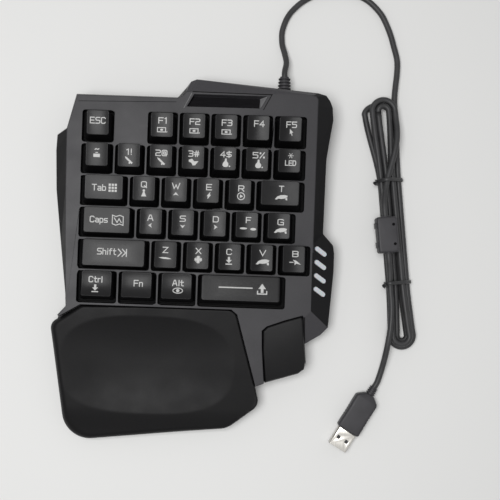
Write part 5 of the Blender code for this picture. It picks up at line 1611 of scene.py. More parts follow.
@dataclass(frozen=True)
class Mark:
    """One mark on a cap, by the box that it fills over the middle of the cap's top."""

    what: str | Icon
    across: float
    along: float
    width: float
    height: float
    weight: float

    def strokes(self) -> list[tuple[Outline, bool]]:
        """List the mark's lines on their own grid, with their closure."""
        if isinstance(self.what, Icon):
            drawing = self.what.value
            return [(line, True) for line in drawing.loops] + [(line, False) for line in drawing.lines]
        made = []
        start = 0.0
        for letter in self.what:
            for line in LETTERS[letter]:
                points = [(start + x, y) for x, y in line]
                closed = points[0] == points[-1] and len(points) > 2
                made.append((points[:-1] if closed else points, closed))
            start += max(x for line in LETTERS[letter] for x, _ in line) + LETTER_GAP
        return made

    def fitted(self, x: float, y: float) -> Point:
        """Move a point of the mark's own grid to its place over the cap."""
        if isinstance(self.what, Icon):
            return self.across + x * self.width / 2, self.along + y * self.height / 2
        spread = [px for line, _ in self.strokes() for px, _ in line]
        share = between(x, min(spread), max(spread)) - 0.5 if max(spread) > min(spread) else 0.0
        wide, tall = self.width - self.weight, self.height - self.weight
        return self.across + share * wide, self.along + (y / LETTER_HEIGHT - 0.5) * tall

    def lines(self) -> list[tuple[Outline, bool]]:
        """List the mark's lines over the cap, with their closure."""
        return [([self.fitted(*point) for point in line], closed) for line, closed in self.strokes()]

    def fills(self) -> list[Outline]:
        """List the mark's filled outlines over the cap."""
        fills = self.what.value.fills if isinstance(self.what, Icon) else ()
        return [[self.fitted(*point) for point in outline] for outline in fills]


RIBBON_STEP = 0.0012
MITRE_LIMIT = 0.45


def ribbon(bm: Mesh, line: Outline, closed: bool, weight: float, level: Level) -> None:
    """Lay a line of even weight on a surface.

    Args:
        bm: Mesh under construction.
        line: Points of the line.
        closed: Whether its end meets its start.
        weight: Width of the line.
        level: Height of the surface by place.
    """
    spots = [Vector(point) for point in line]
    if not closed:
        lead = (spots[0] - spots[1]).normalized() * weight / 2
        trail = (spots[-1] - spots[-2]).normalized() * weight / 2
        spots[0] = spots[0] + lead
        spots[-1] = spots[-1] + trail
    count = len(spots)
    rails = []
    for index, here in enumerate(spots):
        before = spots[index - 1] if closed or index > 0 else None
        after = spots[(index + 1) % count] if closed or index < count - 1 else None
        into = (here - before).normalized() if before is not None else (after - here).normalized()
        out = (after - here).normalized() if after is not None else into
        normal = Vector((-(into + out).y, (into + out).x))
        normal = normal.normalized() if normal.length > 1e-9 else Vector((-into.y, into.x))
        square = Vector((-into.y, into.x))
        reach = weight / 2 / max(normal.dot(square), MITRE_LIMIT)
        rails.append((here + normal * reach, here - normal * reach))
    for (left, right), (left_end, right_end) in zip(rails, rails[1:] + rails[:1] if closed else rails[1:]):
        steps = max(1, math.ceil((left_end - left).length / RIBBON_STEP))
        pairs = []
        for step in range(steps + 1):
            share = step / steps
            pairs.append([bm.verts.new((*spot, level(*spot))) for spot in
                          (left.lerp(left_end, share), right.lerp(right_end, share))])
        for (a, b), (c, d) in zip(pairs, pairs[1:]):
            bm.faces.new((a, b, d, c))


@dataclass(frozen=True)
class CapShape:
    """Shared shape of the caps, with one entry for each row from the rear."""

    rib: float = 0.0018
    gap: float = 0.00045
    skirt: float = 0.0010
    foot_ease: Point = (0.0002, 0.00015)
    taper: float = 0.00180
    base_radius: float = 0.0016
    top_radius: float = 0.0013
    edge: float = 0.00035
    height: float = 0.0074
    dish: float = 0.0007
    wide_units: float = 1.6
    wide_dish: float = 0.0002
    scoop: float = 0.00110
    scoop_row: int = 5
    wall: float = 0.0012
    roof: float = 0.0016
    plunger: float = 0.0050
    plunger_bottom: float = 0.0074
    plunger_steps: int = 3
    rear_inset: float = -0.0008
    sunk: float = 0.0038
    sunk_lean: float = 0.00015
    height_shares: tuple[float, ...] = (0.975, 0.90, 0.82, 0.79, 0.81, 0.84)
    depth_shares: tuple[float, ...] = (0.869, 0.832, 0.870, 0.920, 0.955, 0.900)
    slopes: tuple[float, ...] = tuple(math.radians(a) for a in (7.0, 5.0, 3.0, -0.5, -6.0, -8.0))
    corner_steps: int = 6
    edge_steps: int = 6
    side_steps: int = 6
    unit_steps: int = 8
    top_rings: tuple[float, ...] = (0.05, 0.14, 0.28, 0.46, 0.66, 0.85)
    ink_lift: float = 0.00003
    side_wear: float = 0.15
    polish_spread: float = 1.6
    much_used: tuple[str, ...] = ("key_w", "key_a", "key_s", "key_d", "key_space", "key_shift")
    less_use: float = 0.35


CAPS = CapShape()


@dataclass(frozen=True)
class KeyCap:
    """One cap at its place in the field, with the marks on its top."""

    node: str
    units: float
    row: int
    x: float
    y: float
    marks: tuple[Mark, ...]

    @property
    def top_width(self) -> float:
        """Width of the top between its edges."""
        return self.units * LAYOUT.pitch - CAPS.rib - 2 * CAPS.gap - 2 * CAPS.taper

    @property
    def base_depth(self) -> float:
        """Depth of the cap at its foot."""
        return LAYOUT.pitch - CAPS.rib - 2 * CAPS.gap

    @property
    def top_depth(self) -> float:
        """Depth of the top between its edges."""
        return self.base_depth * CAPS.depth_shares[self.row]

    @property
    def shift(self) -> float:
        """How far the top sits behind the middle of the foot."""
        return (self.base_depth - self.top_depth) / 2 - CAPS.rear_inset

    def level(self, x: float, y: float) -> float:
        """Height of the top by place over the cap's middle."""
        dish = CAPS.dish if self.units < CAPS.wide_units else CAPS.wide_dish
        rise = math.tan(CAPS.slopes[self.row]) * (y - self.shift)
        bowl = dish * (1.0 - (2 * x / self.top_width) ** 2)
        if self.row == CAPS.scoop_row and self.units < CAPS.wide_units:
            bowl += CAPS.scoop * (0.5 - (2 * (y - self.shift) / self.top_depth) ** 2)
        return CAPS.height * CAPS.height_shares[self.row] + rise - bowl

    def outline(self, width: float, depth: float, radius: float) -> list[Point]:
        """Outline of the cap at some height, with its sides divided evenly."""
        corners = rounded_box(width, depth, radius, CAPS.corner_steps)
        per_corner = CAPS.corner_steps + 1
        across = max(CAPS.unit_steps, round(CAPS.unit_steps * self.units))
        points = []
        for corner in range(4):
            arc = corners[corner * per_corner:(corner + 1) * per_corner]
            points += arc
            start, end = Vector(arc[-1]), Vector(corners[((corner + 1) * per_corner) % len(corners)])
            steps = across if corner in (0, 2) else CAPS.side_steps
            points += [tuple(start.lerp(end, step / steps)) for step in range(1, steps)]
        return points

    def build(self) -> None:
        """Make the cap and its marks."""
        matrix = LAYOUT.deck() @ Matrix.Translation((self.x, self.y, 0.0))
        body = "cap_" + self.node.removeprefix("key_")
        make_piece(self.node.replace("key_", "keycap_"), self.shell(), matrix, (CAP, SKIRT_SHADE),
                   Fitting("cap_black", (self.node,), body), ROUND)
        make_piece(self.node.replace("key_", "legend_"), self.legend(), matrix, (INK,),
                   Fitting("light_white", (), body), ROUND)

    def shell(self) -> Mesh:
        """Shape the cap: skirt, rounded edge, dished top, hollow inside and plunger."""
        bm = bmesh.new()
        wear_and_highlight = bm.verts.layers.float.new("wear_and_highlight")
        polish = bm.verts.layers.float.new("polish")
        base_width = self.top_width + 2 * CAPS.taper
        rings = [ring(bm, self.outline(base_width - inset, self.base_depth - inset, CAPS.base_radius),
                      level_at(-CAPS.skirt + rise))
                 for inset, rise in ((CAPS.foot_ease[0], 0.0), (0.0, CAPS.foot_ease[1]))]
        for step in range(CAPS.edge_steps + 1):
            angle = math.pi / 2 * step / CAPS.edge_steps
            inward, down = 1.0 - math.cos(angle), CAPS.edge * (1.0 - math.sin(angle))
            width = self.top_width + CAPS.edge - 2 * CAPS.edge * inward
            depth = self.top_depth + CAPS.edge / 2 - 1.5 * CAPS.edge * inward
            points = moved(self.outline(width, depth, CAPS.top_radius), 0.0, self.shift)
            made = ring(bm, points, lambda x, y, down=down: self.level(x, y) - down)
            for vert in made:
                vert[wear_and_highlight] = math.sin(2 * angle) if 0 < step < CAPS.edge_steps else CAPS.side_wear
            rings.append(made)
        top = self.outline(self.top_width - CAPS.edge, self.top_depth - CAPS.edge, CAPS.top_radius)
        used = 1.0 if self.node in CAPS.much_used else CAPS.less_use
        for share in CAPS.top_rings:
            points = moved(towards(top, (0.0, 0.0), share), 0.0, self.shift)
            made = ring(bm, points, self.level)
            for vert in made:
                vert[polish] = ease(share * CAPS.polish_spread) * used
            rings.append(made)
        rings.insert(2, self.waist(bm, rings[1], rings[2]))
        # The skirt's faces take the darker copy of the cap plastic, painted shade.
        for lower, upper in zip(rings[:3], rings[1:4]):
            bridge(bm, lower, upper, 1)
        stack(bm, rings[3:], closed=False)
        fan(bm, rings[-1], Vector((0.0, self.shift, self.level(0.0, self.shift))))
        self.add_inside(bm, rings[0], base_width)
        return bm

    def waist(self, bm: Mesh, foot: Ring, top: Ring) -> Ring:
        """Add the ring that is level with the deck when the key is down.

        Args:
            bm: Mesh under construction.
            foot: Ring at the cap's foot.
            top: Ring under the rounded edge.

        Returns:
            A ring that leans back no further than the well's edge allows.
        """
        limit = self.base_depth / 2 + CAPS.sunk_lean
        made = []
        for low, high in zip(foot, top):
            place = low.co.lerp(high.co, between(CAPS.sunk, low.co.z, high.co.z))
            made.append(bm.verts.new((place.x, min(place.y, limit), place.z)))
        return made

    def add_inside(self, bm: Mesh, foot: Ring, base_width: float) -> None:
        """Add the hollow inside and the plunger.

        Args:
            bm: Mesh under construction.
            foot: Lowest outer ring.
            base_width: Width of the foot.
        """
        slope = CAPS.slopes[self.row]
        low_edge = -self.top_depth / 2 if slope > 0.0 else self.top_depth / 2
        roof = self.level(0.0, low_edge + self.shift) - CAPS.roof
        wall, radius = 2 * CAPS.wall, CAPS.base_radius / 2
        inner = ring(bm, self.outline(base_width - wall, self.base_depth - wall, radius),
                     level_at(-CAPS.skirt))
        ceiling = self.outline(self.top_width - wall, self.top_depth - wall, radius)
        upper = ring(bm, moved(ceiling, 0.0, self.shift), level_at(roof))
        bridge(bm, foot, inner)
        bridge(bm, inner, upper)
        bm.faces.new(upper)
        square = rounded_box(CAPS.plunger, CAPS.plunger, CAPS.edge, CAPS.plunger_steps)
        stack(bm, [ring(bm, square, level_at(height))
                   for height in (roof + CAPS.edge, -CAPS.plunger_bottom)])

    def legend(self) -> Mesh:
        """Lay the marks on the top."""
        bm = bmesh.new()

        def skin(x: float, y: float) -> float:
            return self.level(x, y) + CAPS.ink_lift

        for mark in self.marks:
            for line, closed in mark.lines():
                ribbon(bm, moved(line, 0.0, self.shift), closed, mark.weight, skin)
            for outline in mark.fills():
                face = bm.faces.new(ring(bm, moved(outline, 0.0, self.shift), skin))
                bmesh.ops.triangulate(bm, faces=[face])
        return bm


MILLIMETRE = 0.001


def mark(what: str | Icon, across: float, along: float, width: float, height: float,
         weight: float = 0.54) -> Mark:
    """Make a mark from its box in millimetres."""
    return Mark(what, *(size * MILLIMETRE for size in (across, along, width, height, weight)))


def pair(text: str, width: float, icon: Icon, across: float, levels: Point, box: Point
         ) -> tuple[Mark, Mark]:
    """Set a word with an icon under it, in millimetres.

    Args:
        text: Word or letter.
        width: Width of the word.
        icon: Icon under it.
        across: Shift of both to the right.
        levels: Places of the word and the icon along the cap.
        box: Width and height of the icon.

    Returns:
        The marks.
    """
    return mark(text, across, levels[0], width, 3.7), mark(icon, across, levels[1], *box, 0.5)


@dataclass(frozen=True)
class KeyField:
    """All the keys, row by row from the rear: name, width in units and marks."""

    rows: tuple[tuple[tuple[str | None, float, tuple[Mark, ...]], ...], ...] = (
        (("key_esc", 1.0, (mark("ESC", 0.0, 1.2, 9.4, 3.9),)), (None, 1.0, ()),
         ("key_f1", 1.0, pair("F1", 4.9, Icon.SCREEN, 0.2, (2.4, -3.0), (6.0, 4.0))),
         ("key_f2", 1.0, pair("F2", 6.3, Icon.SCREEN, 0.4, (2.4, -3.0), (6.0, 4.0))),
         ("key_f3", 1.0, pair("F3", 6.3, Icon.SCREEN, 0.4, (2.4, -3.0), (6.0, 4.0))),
         ("key_f4", 1.0, (mark("F4", 0.5, 2.5, 6.3, 3.8),)),
         ("key_f5", 1.0, pair("F5", 6.3, Icon.CURSOR, 0.6, (2.6, -1.9), (3.6, 4.3)))),
        (("key_grave", 1.0, (mark("~", 0.0, 2.1, 2.8, 3.0), mark(Icon.BLOCK, -0.1, -0.6, 5.0, 4.2))),
         ("key_1", 1.0, pair("1!", 3.2, Icon.PENCIL, 0.0, (2.0, -3.0), (5.2, 4.9))),
         ("key_2", 1.0, pair("2@", 7.1, Icon.PENCIL, 0.2, (2.0, -3.0), (5.2, 4.9))),
         ("key_3", 1.0, pair("3#", 6.5, Icon.BOLT, 0.4, (2.2, -2.7), (6.2, 4.2))),
         ("key_4", 1.0, pair("4$", 6.8, Icon.FLASK, 0.4, (2.5, -2.4), (5.4, 5.2))),
         ("key_5", 1.0, pair("5%", 7.2, Icon.FLASK, 0.8, (2.6, -2.4), (5.4, 5.2))),
         ("key_mode", 1.0, (mark(Icon.SUN, 0.8, 3.0, 3.2, 3.2, 0.34),
                            mark("LED", 0.8, -1.3, 6.6, 3.2, 0.5)))),
        (("key_tab", 1.5, (mark("Tab", -2.9, -0.3, 8.4, 3.9), mark(Icon.TILES, 5.3, -0.3, 5.5, 5.4))),
         ("key_q", 1.0, pair("Q", 3.7, Icon.PAWN, 0.0, (2.4, -2.6), (4.4, 4.6))),
         ("key_w", 1.0, pair("W", 4.9, Icon.UP, 0.0, (2.1, -2.6), (4.0, 3.0))),
         ("key_e", 1.0, pair("E", 3.5, Icon.SPARK, 0.6, (2.1, -2.8), (3.9, 4.6))),
         ("key_r", 1.0, pair("R", 3.6, Icon.PLAY, 0.7, (2.0, -2.6), (4.9, 4.9))),
         ("key_t", 1.5, pair("T", 3.1, Icon.LEAF, 0.8, (2.6, -2.4), (7.6, 4.0)))),
        (("key_caps", 1.75, (mark("Caps", -4.7, 0.2, 10.7, 3.9),
                             mark(Icon.CHART, 6.6, 0.0, 6.8, 6.2, 0.5))),
         ("key_a", 1.0, pair("A", 3.6, Icon.LEFT, -0.3, (2.2, -2.3), (3.2, 3.4))),
         ("key_s", 1.0, pair("S", 3.6, Icon.DOWN, -0.1, (2.3, -2.3), (3.6, 3.0))),
         ("key_d", 1.0, pair("D", 3.6, Icon.RIGHT, 0.5, (2.6, -2.0), (3.2, 3.4))),
         ("key_f", 1.0, pair("F", 3.2, Icon.PAIR, 0.9, (2.8, -2.4), (9.6, 4.2))),
         ("key_g", 1.0, pair("G", 3.8, Icon.LEAF, 1.0, (2.3, -2.7), (7.7, 4.3)))),
        (("key_shift", 2.25, (mark("Shift", -4.1, 0.6, 11.4, 3.9),
                              mark(Icon.SPEED, 5.2, 0.1, 5.4, 5.2, 0.6))),
         ("key_z", 1.0, pair("Z", 3.4, Icon.LENS, -0.2, (2.7, -2.1), (7.7, 4.2))),
         ("key_x", 1.0, pair("X", 3.5, Icon.PLUS, 0.4, (2.8, -2.3), (4.6, 4.6))),
         ("key_c", 1.0, pair("C", 3.4, Icon.LOWER, -0.4, (2.9, -2.4), (5.0, 4.9))),
         ("key_v", 1.0, pair("V", 4.0, Icon.LEAF, 0.5, (2.9, -2.4), (8.0, 4.5))),
         ("key_b", 1.0, pair("B", 3.7, Icon.DART, 0.9, (3.0, -2.0), (6.9, 4.6)))),
        (("key_ctrl", 1.25, pair("Ctrl", 8.2, Icon.LOWER, -0.7, (2.4, -2.9), (5.0, 4.8))),
         ("key_fn", 1.25, (mark("Fn", 1.0, 0.9, 5.5, 3.9),)),
         ("key_alt", 1.25, pair("Alt", 6.9, Icon.EYE, 0.8, (1.9, -2.6), (6.0, 5.6))),
         ("key_space", 2.75, (mark(Icon.BAR, -3.0, 0.4, 20.2, 20.2),
                              mark(Icon.JUMP, 12.8, 0.2, 6.4, 6.6, 0.7)))),
    )

    def caps(self) -> list[KeyCap]:
        """Place every key on the deck."""
        caps = []
        for row, keys in enumerate(self.rows):
            left = LAYOUT.left
            y = LAYOUT.rear - (row + 0.5) * LAYOUT.pitch
            for node, units, marks in keys:
                if node:
                    caps.append(KeyCap(node, units, row, left + units * LAYOUT.pitch / 2, y, marks))
                left += units * LAYOUT.pitch
        return caps


# Case and rests


class CaseFace(IntEnum):
    """Kinds of faces of the case, in the order of their finishes; the painted shade, lit wall and lit band
    kinds are painted shade and painted light, chosen by a face's place and facing.
    """

    DECK = 0
    PAINTED_SHADE = 1
    WING = 2
    LIT_WALL = 3
    LIT_BAND = 4


@dataclass(frozen=True)
class Case:
    """Upper and lower case with softened edges, and the window's trim."""

    rounding: float = 0.00045
    outer_share: float = 0.67
    flat: float = 0.0002
    bezel: tuple[Point, ...] = ((0.434, 1.169), (0.471, 1.644), (0.815, 1.635), (0.778, 1.192))
    window: tuple[Point, ...] = ((0.447, 1.215), (0.477, 1.562), (0.798, 1.566), (0.769, 1.230))
    window_floor: tuple[Point, ...] = ((0.450, 1.237), (0.472, 1.520), (0.765, 1.502), (0.758, 1.250))
    window_depth: float = 0.0028
    panel_rise: float = 0.0012
    panel_lift: float = 0.00002
    crease: tuple[Point, ...] = ((-0.20, 1.265), (0.400, 1.330))
    line_back: float = 0.0004
    line_lift: float = 0.00003
    crease_share: float = 0.5
    seam_width: float = 0.00055
    seam_depth: float = 0.0006
    seam_reach: Point = (-1.6, 0.5)
    bead_width: float = 0.00060
    bead_height: float = 0.00030
    bead_cut: float = 0.12
    bead_section: tuple[float, ...] = (-1.0, -0.8, -0.45, 0.0, 0.45, 0.8, 1.0)
    well_margin: float = 0.0010
    lit_lean: float = 0.98
    side_lean: float = -0.3
    toe_lean: Point = (-0.25, 0.2)
    rear_lean: Point = (0.2, 0.3)
    band_start: float = 0.0150
    hard_angle: float = 28.0
    flat_over: float = 1.5e-6

    def build(self) -> None:
        """Make both halves of the case, the window panel, and the painted shadow lines and highlighted bead
        round the bezel.
        """
        to_deck = LAYOUT.deck().inverted()
        for node in ("top_case", "bottom_case"):
            bm = carried_mesh(node)
            weigh_edges(bm, self.hard_angle, lambda middle: self.share(to_deck @ middle))
            made = make_piece(node.replace("_case", "_shell"), bm, Matrix.Identity(4),
                              (SHELL, SHADE_AND_PIP_BLACK, WING, LIT_WALL, LIT_BAND), Fitting("shell_black", (node,)), CRISP)
            soften(made, self.rounding, 3, self.hard_angle, -1, node != "top_case", self.flat_over)
            for face in made.data.polygons:
                face.material_index = self.sorted_face(to_deck @ face.center,
                                                       to_deck.to_3x3() @ face.normal)
        self.window_panel()
        self.bezel_lines()

    def share(self, middle: Vector) -> float:
        """Share of the full rounding at a place in deck coordinates: full round the wells."""
        if self.near_seam(middle):
            return 0.0
        if self.in_field(middle, self.flat * 3):
            return 1.0 if abs(middle.z) < self.flat else 0.0
        return self.outer_share

    def near_seam(self, place: Vector) -> bool:
        """Whether a place is at the fine seam right of the window."""
        front, rear = LAYOUT.spots((self.bezel[3], self.bezel[2]))
        along = (rear - front).normalized()
        off = along.cross(place.xy - front)
        left, right = (self.seam_width * reach for reach in self.seam_reach)
        return left < off < right and place.y > LAYOUT.rear and place.z > -self.seam_depth

    def in_field(self, place: Vector, margin: float) -> bool:
        """Whether a place is in the key field or within a margin of it."""
        across = LAYOUT.left - margin < place.x < LAYOUT.right + margin
        return across and LAYOUT.front - margin < place.y < LAYOUT.rear + margin

    def sorted_face(self, place: Vector, heading: Vector) -> CaseFace:
        """Choose the finish of one face of the case by its place and facing, which paints shade and light
        on some faces.

        Args:
            place: Middle of the face in deck coordinates.
            heading: Its normal in deck coordinates.

        Returns:
            The kind of the face.
        """
        # Walls of the key wells: painted shade.
        if self.in_field(place, self.well_margin) and heading.z < self.lit_lean:
            return CaseFace.PAINTED_SHADE
        if place.z >= -self.flat:
            return CaseFace.DECK
        # The seam right of the window: painted shade.
        if self.near_seam(place):
            return CaseFace.PAINTED_SHADE
        behind = place.y > LAYOUT.rear
        faces_left = heading.x < self.side_lean
        beside = not LAYOUT.left < place.x < LAYOUT.right or place.y < LAYOUT.front
        if beside or (behind and place.x < LAYOUT.plan(*self.window[0])[0] and faces_left):
            # The front-facing toe right of the field takes painted light; the other side faces take the
            # darker wing finish.
            forward, up = self.toe_lean
            toe = place.x > LAYOUT.right and heading.y < forward and heading.z > up
            return CaseFace.LIT_BAND if toe else CaseFace.WING
        # Rear-facing band of the hump: painted light.
        if place.y > LAYOUT.rear + self.band_start and heading.y > self.rear_lean[0]:
            return CaseFace.LIT_BAND if heading.z > self.rear_lean[1] else CaseFace.DECK
        # Left-facing walls of the window recess take painted light.
        ends = LAYOUT.plan(*self.window_floor[3])[0], LAYOUT.plan(*self.window[2])[0]
        in_wall = behind and ends[0] < place.x < ends[1] and place.z > -self.window_depth
        return CaseFace.LIT_WALL if in_wall and faces_left else CaseFace.DECK

    def bezel_lines(self) -> None:
        """Lay painted shadow lines at the bezel's rear and along the rear-left crease, and the bead at its
        left with a painted highlight.
        """
        corner, left, right = LAYOUT.spots(self.bezel[:3])
        back = Vector((0.0, -self.line_back))
        bm = bmesh.new()
        for line, width in (((left + back, right + back), self.seam_width),
                            (LAYOUT.spots(self.crease), self.seam_width * self.crease_share)):
            ribbon(bm, line, False, width, level_at(self.line_lift))
        make_piece("bezel_painted_shadow_line", bm, LAYOUT.deck(), (SHADE_AND_PIP_BLACK,), Fitting("shell_black"), CRISP)
        bm = bmesh.new()
        end = left.lerp(corner, self.bead_cut)
        across = (end - corner).orthogonal().normalized() * self.bead_width / 2
        profile = [(share, self.bead_height * math.sqrt(1.0 - share * share))
                   for share in self.bead_section]
        stack(bm, [[bm.verts.new((*(place + across * share), height)) for share, height in profile]
                   for place in (corner, end)])
        make_piece("bezel_bead_painted_highlight", bm, LAYOUT.deck(), (LIT_WALL,), Fitting("shell_black"), ROUND)

    def window_panel(self) -> None:
        """Set the gloss panel into the window, deeper at its rear edge."""
        bm = bmesh.new()
        floor = LAYOUT.spots(self.window_floor)
        front, rear = floor[0].y, floor[1].y
        rises = [self.panel_rise * between(low.y, rear, front) for low in floor]
        corners = [low.lerp(high, rise / self.window_depth)
                   for low, high, rise in zip(floor, LAYOUT.spots(self.window), rises)]
        bottom = level_at(-self.window_depth + self.panel_lift)

        def slope(_: float, y: float) -> float:
            return -self.window_depth + 2 * self.panel_lift + self.panel_rise * between(y, rear, front)

        stack(bm, [ring(bm, floor, bottom), ring(bm, corners, slope)])
        make_piece("window_panel", bm, LAYOUT.deck(), (WINDOW,), Fitting("shell_black"), CRISP)


@dataclass(frozen=True)
class PalmRest:
    """Palm rest: a crowned cover with a shallow dish inside a wide rim."""

    corners: tuple[Point, ...] = ((0.013, -0.031), (-0.988, -0.168), (-0.322, -1.021), (0.670, -0.888),
                                  (0.809, -0.707), (0.689, -0.031))
    radii: tuple[float, ...] = (0.0060, 0.0060, 0.0170, 0.0130, 0.0070, 0.0055)
    centre: Point = (0.32, -0.455)
    rear_drop: float = 0.0010
    fall: float = 0.0032
    edge_round: float = 0.0044
    crisp_round: float = 0.0008
    soft_share: float = 0.075
    crisp_share: float = 0.014
    roll_heading: Point = (-0.60, -0.80)
    roll_reach: float = 0.060
    parting: float = 0.0110
    gap: float = 0.0003
    dish: float = 0.0030
    dish_centre: Point = (-0.0262, -0.0634)
    dish_half: Point = (0.0528, 0.0296)
    dish_power: float = 2.7
    bowl_power: float = 2.2
    roll_power: float = 2.6
    rim_fall: float = 0.0016
    rim_start: Point = (0.004, -0.016)
    corner_reach: float = 0.0150
    corner_steps: int = 14
    side_step: float = 0.0016
    edge_shares: tuple[float, ...] = (0.0, 0.004, 0.010, 0.018, 0.028, 0.040, 0.055, 0.075)
    inner_rings: int = 46
    inner_reach: float = 0.885
    rim_band_share: float = 0.014
    side_lightening: float = 0.4
    polish: float = 0.5
    polish_start: Point = (0.2, 0.8)

    def crown(self, y: float) -> float:
        """Height of the cover without its rounding and dish."""
        rear = LAYOUT.plan(*self.corners[0])[1]
        front = LAYOUT.plan(*self.corners[2])[1]
        return -self.rear_drop - self.fall * (rear - y) / (rear - front)

    def level(self, x: float, y: float, inward: float) -> float:
        """Height of the cover's surface.

        Args:
            x: Place across.
            y: Place along.
            inward: Share of the way from the edge to the centre.

        Returns:
            The height in deck coordinates.
        """
        across = abs(x - self.dish_centre[0]) / self.dish_half[0]
        along = abs(y - self.dish_centre[1]) / self.dish_half[1]
        reach = (across ** self.dish_power + along ** self.dish_power) ** (1 / self.dish_power)
        bowl = self.dish * (1.0 - min(reach, 1.0) ** self.bowl_power)
        roll = self.roll(x, y)
        reach_in = self.crisp_share + (self.soft_share - self.crisp_share) * roll
        drop = self.crisp_round + (self.edge_round - self.crisp_round) * roll
        soft = (1.0 - min(inward / reach_in, 1.0)) ** self.roll_power
        front = self.dish_centre[1] - self.dish_half[1]
        slope = self.rim_fall * ease(between(y, *(front + start for start in self.rim_start)))
        return self.crown(y) - bowl - drop * soft - slope * (1.0 - soft)

    def roll(self, x: float, y: float) -> float:
        """How fully the edge rolls down at a place: not at the rear and right, fully at the front."""
        centre = LAYOUT.plan(*self.centre)
        reach = (x - centre[0]) * self.roll_heading[0] + (y - centre[1]) * self.roll_heading[1]
        return ease(0.5 + reach / self.roll_reach)

    def build(self) -> None:
        """Make the cover."""
        corners = [LAYOUT.plan(*pair) for pair in self.corners]
        outline = divided(rounded(corners, self.radii, self.corner_steps), self.side_step)
        centre = LAYOUT.plan(*self.centre)
        bm = bmesh.new()
        wear_and_highlight = bm.verts.layers.float.new("wear_and_highlight")
        polish = bm.verts.layers.float.new("polish")
        base = ring(bm, outline, level_at(-self.parting + self.gap / 2))
        rings = [base]
        inner = [self.soft_share + self.inner_reach * (step / self.inner_rings)
                 for step in range(1, self.inner_rings + 1)]
        for share in [*self.edge_shares, *inner]:
            points = towards(outline, centre, share)
            made = [bm.verts.new((x, y, self.level(x, y, share))) for x, y in points]
            for vert in made:
                # Lighten a band along the edge, and more at the front-left and front-right corners as a
                # painted highlight.
                corner_highlight = max(math.exp(-(math.dist(vert.co.xy, corner) / self.corner_reach) ** 2)
                                for corner in (corners[2], corners[4]))
                at_edge = math.exp(-((share - self.rim_band_share) / self.rim_band_share) ** 2)
                vert[wear_and_highlight] = (self.side_lightening + corner_highlight) * at_edge
                vert[polish] = self.polish * ease(between(share, *self.polish_start))
            rings.append(made)
        stack(bm, rings, closed=False)
        fan(bm, rings[-1], Vector((*centre, self.level(*centre, 1.0))))
        bm.faces.new(base)
        make_piece("palm_cover", bm, LAYOUT.deck(), (PALM,), Fitting("palm_black", ("palm_rest",)), EVEN)


@dataclass(frozen=True)
class ThumbRest:
    """Thumb rest: a flat pad with eased edges beside the palm rest."""

    rounding: float = 0.0004
    hard_angle: float = 20.0
    rim: tuple[Point, Point] = ((0.828, -0.546), (0.973, -0.471))
    rim_width: float = 0.0007
    rim_depth: float = 0.0030

    def build(self) -> None:
        """Soften the pad's edges, and paint a highlight on its front rim."""
        bm = carried_mesh("thumb_rest")
        made = make_piece("thumb_pad", bm, Matrix.Identity(4), (THUMB,),
                          Fitting("palm_black", ("thumb_rest",)), CRISP)
        soften(made, self.rounding, 3, self.hard_angle)
        to_deck = LAYOUT.deck().inverted()
        start, end = LAYOUT.spots(self.rim)
        across = (end - start).normalized()
        # Painted highlight along the front rim.
        wear_and_highlight = made.data.attributes.new("wear_and_highlight", "FLOAT", "POINT")
        for vert, worn_and_lit in zip(made.data.vertices, wear_and_highlight.data):
            place = to_deck @ vert.co
            off = abs(across.cross(place.xy - start))
            worn_and_lit.value = 1.0 if off < self.rim_width and place.z > -self.rim_depth else 0.0


@dataclass(frozen=True)
class BottomScrews:
    """Cross-head screws in the seats of the underside."""

    places: tuple[Point, ...] = ((-0.42, 0.12), (0.40, 0.12), (-0.42, -0.12), (0.40, -0.14),
                                 (-0.02, 0.40), (-0.10, -0.30))
    roof: float = 0.0022
    height: float = 0.0008
    radius: float = 0.0027
    edge: float = 0.0003
    arm: float = 0.0004
    reach: float = 0.0015
    recess: float = 0.0005
    recess_taper: float = 0.2
    sharp: float = 35.0

    def build(self) -> None:
        """Make every screw head in its seat, all as one piece."""
        bm = bmesh.new()
        for across, along in self.places:
            self.add_head(bm, across * LAYOUT.width, along * LAYOUT.depth)
        make_piece("bottom_screws", bm, LAYOUT.desk(), (SCREW_STEEL,), Fitting("plug_metal"), self.sharp)

    def add_head(self, bm: Mesh, x: float, y: float) -> None:
        """Add one head, which looks down, with its cross recess."""
        slots = divided(cross(self.reach, self.arm), self.reach / 2)
        turns = [math.atan2(py, px) for px, py in slots]
        rim = [(self.radius * math.cos(turn), self.radius * math.sin(turn)) for turn in turns]
        face = self.roof - self.height
        outlines = ((rim, self.roof), (rim, face + self.edge),
                    (towards(rim, (0.0, 0.0), self.edge / self.radius), face), (slots, face),
                    (towards(slots, (0.0, 0.0), self.recess_taper), face + self.recess))
        stack(bm, [ring(bm, moved(outline, x, y), level_at(height)) for outline, height in outlines])


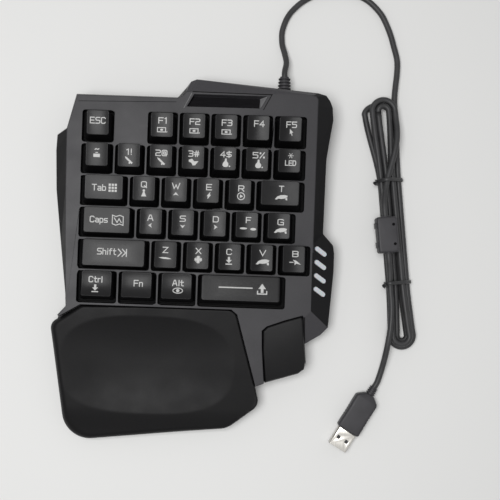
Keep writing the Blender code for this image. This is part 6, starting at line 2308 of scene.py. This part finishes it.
@dataclass(frozen=True)
class DomeSheet:
    """Silicone sheet under the keys, with a dome over each contact, built at rest."""

    top: float = -0.0116
    cut_above: float = -0.0113
    reach: float = 0.0065
    sides: int = 24
    keep: float = 0.10
    profile: tuple[Point, ...] = (
        (0.00310, 0.0015), (0.00290, 0.0021), (0.00140, 0.0036), (0.00035, 0.0043), (0.00002, 0.0045),
        (0.00002, 0.0056), (0.00030, 0.0056), (0.00045, 0.0051), (0.00160, 0.0042), (0.00310, 0.0028),
        (0.00370, 0.0026), (0.00390, 0.0023))

    def build(self, places: dict[str, Point]) -> None:
        """Make the sheet, and a dome for each key.

        Args:
            places: Middle of each key on the deck, by the key's node.
        """
        self.sheet(places)
        normal = LAYOUT.deck().to_3x3() @ Vector((0.0, 0.0, 1.0))
        for node, (x, y) in places.items():
            key = node.removeprefix("key_")
            matrix = LAYOUT.deck() @ Matrix.Translation((x, y, self.top))
            bm = bmesh.new()
            turned_profile(bm, self.profile, self.sides, Matrix.Identity(4))
            dome = make_piece("dome_" + key, bm, matrix, (SILICONE,), Fitting("dome_white"), EVEN)
            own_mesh(dome)

    def sheet(self, places: dict[str, Point]) -> None:
        """Make the flat sheet, with a hole under each dome."""
        bm = carried_mesh("dome_sheet")
        bmesh.ops.transform(bm, matrix=LAYOUT.deck().inverted(), verts=bm.verts)
        raised = [face for face in bm.faces if any(vert.co.z > self.cut_above for vert in face.verts)]
        bmesh.ops.delete(bm, geom=raised, context="FACES")
        for x, y in places.values():
            rims = [edge for edge in bm.edges if edge.is_boundary
                    and (edge.verts[0].co.xy - Vector((x, y))).length < self.reach]
            bmesh.ops.bridge_loops(bm, edges=rims)
        make_piece("silicone_sheet", bm, LAYOUT.deck(), (SILICONE,), Fitting("dome_white", ("dome_sheet",)))


@dataclass(frozen=True)
class CarriedNodes:
    """CAD nodes whose shapes stay, and their finishes."""

    finishes: tuple[tuple[tuple[str, ...], Finish], ...] = (
        (("side_light_guide",), DIFFUSER),
        (("key_guide_frame",), INNER),
        (("membrane_sheet",), FILM),
        (("back_plate",), STEEL),
        (("controller_board",), BOARD),
        (("tilt_foot_left", "tilt_foot_right"), SHELL),
        (("rubber_foot_rear_left", "rubber_foot_rear_right", "rubber_foot_front_left",
          "rubber_foot_front_right"), RUBBER),
    )

    def dress(self) -> None:
        """Give each node its finish."""
        for nodes, finish in self.finishes:
            for node in nodes:
                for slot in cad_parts[node].material_slots:
                    slot.material = finish.material()
                LOG.info("%s takes %s", node, finish.name)


def main() -> None:
    """Build the scene: camera and cable first, then every piece."""
    logging.basicConfig(level=logging.INFO)
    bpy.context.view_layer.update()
    Viewpoint().build()
    carried = [StrainRelief().build(), FerriteChoke().build(),
               TwistTie("upper_twist_tie", "tie_upper", CABLE.ties[0]).build(),
               TwistTie("lower_twist_tie", "tie_lower", CABLE.ties[1]).build()]
    carried += PlugGrip().build()
    CABLE.build(carried)
    caps = KeyField().caps()
    for cap in caps:
        cap.build()
    DomeSheet().build({cap.node: (cap.x, cap.y) for cap in caps})
    Case().build()
    PalmRest().build()
    ThumbRest().build()
    BottomScrews().build()
    CarriedNodes().dress()
    Studio().build()


if __name__ == "__main__":
    main()
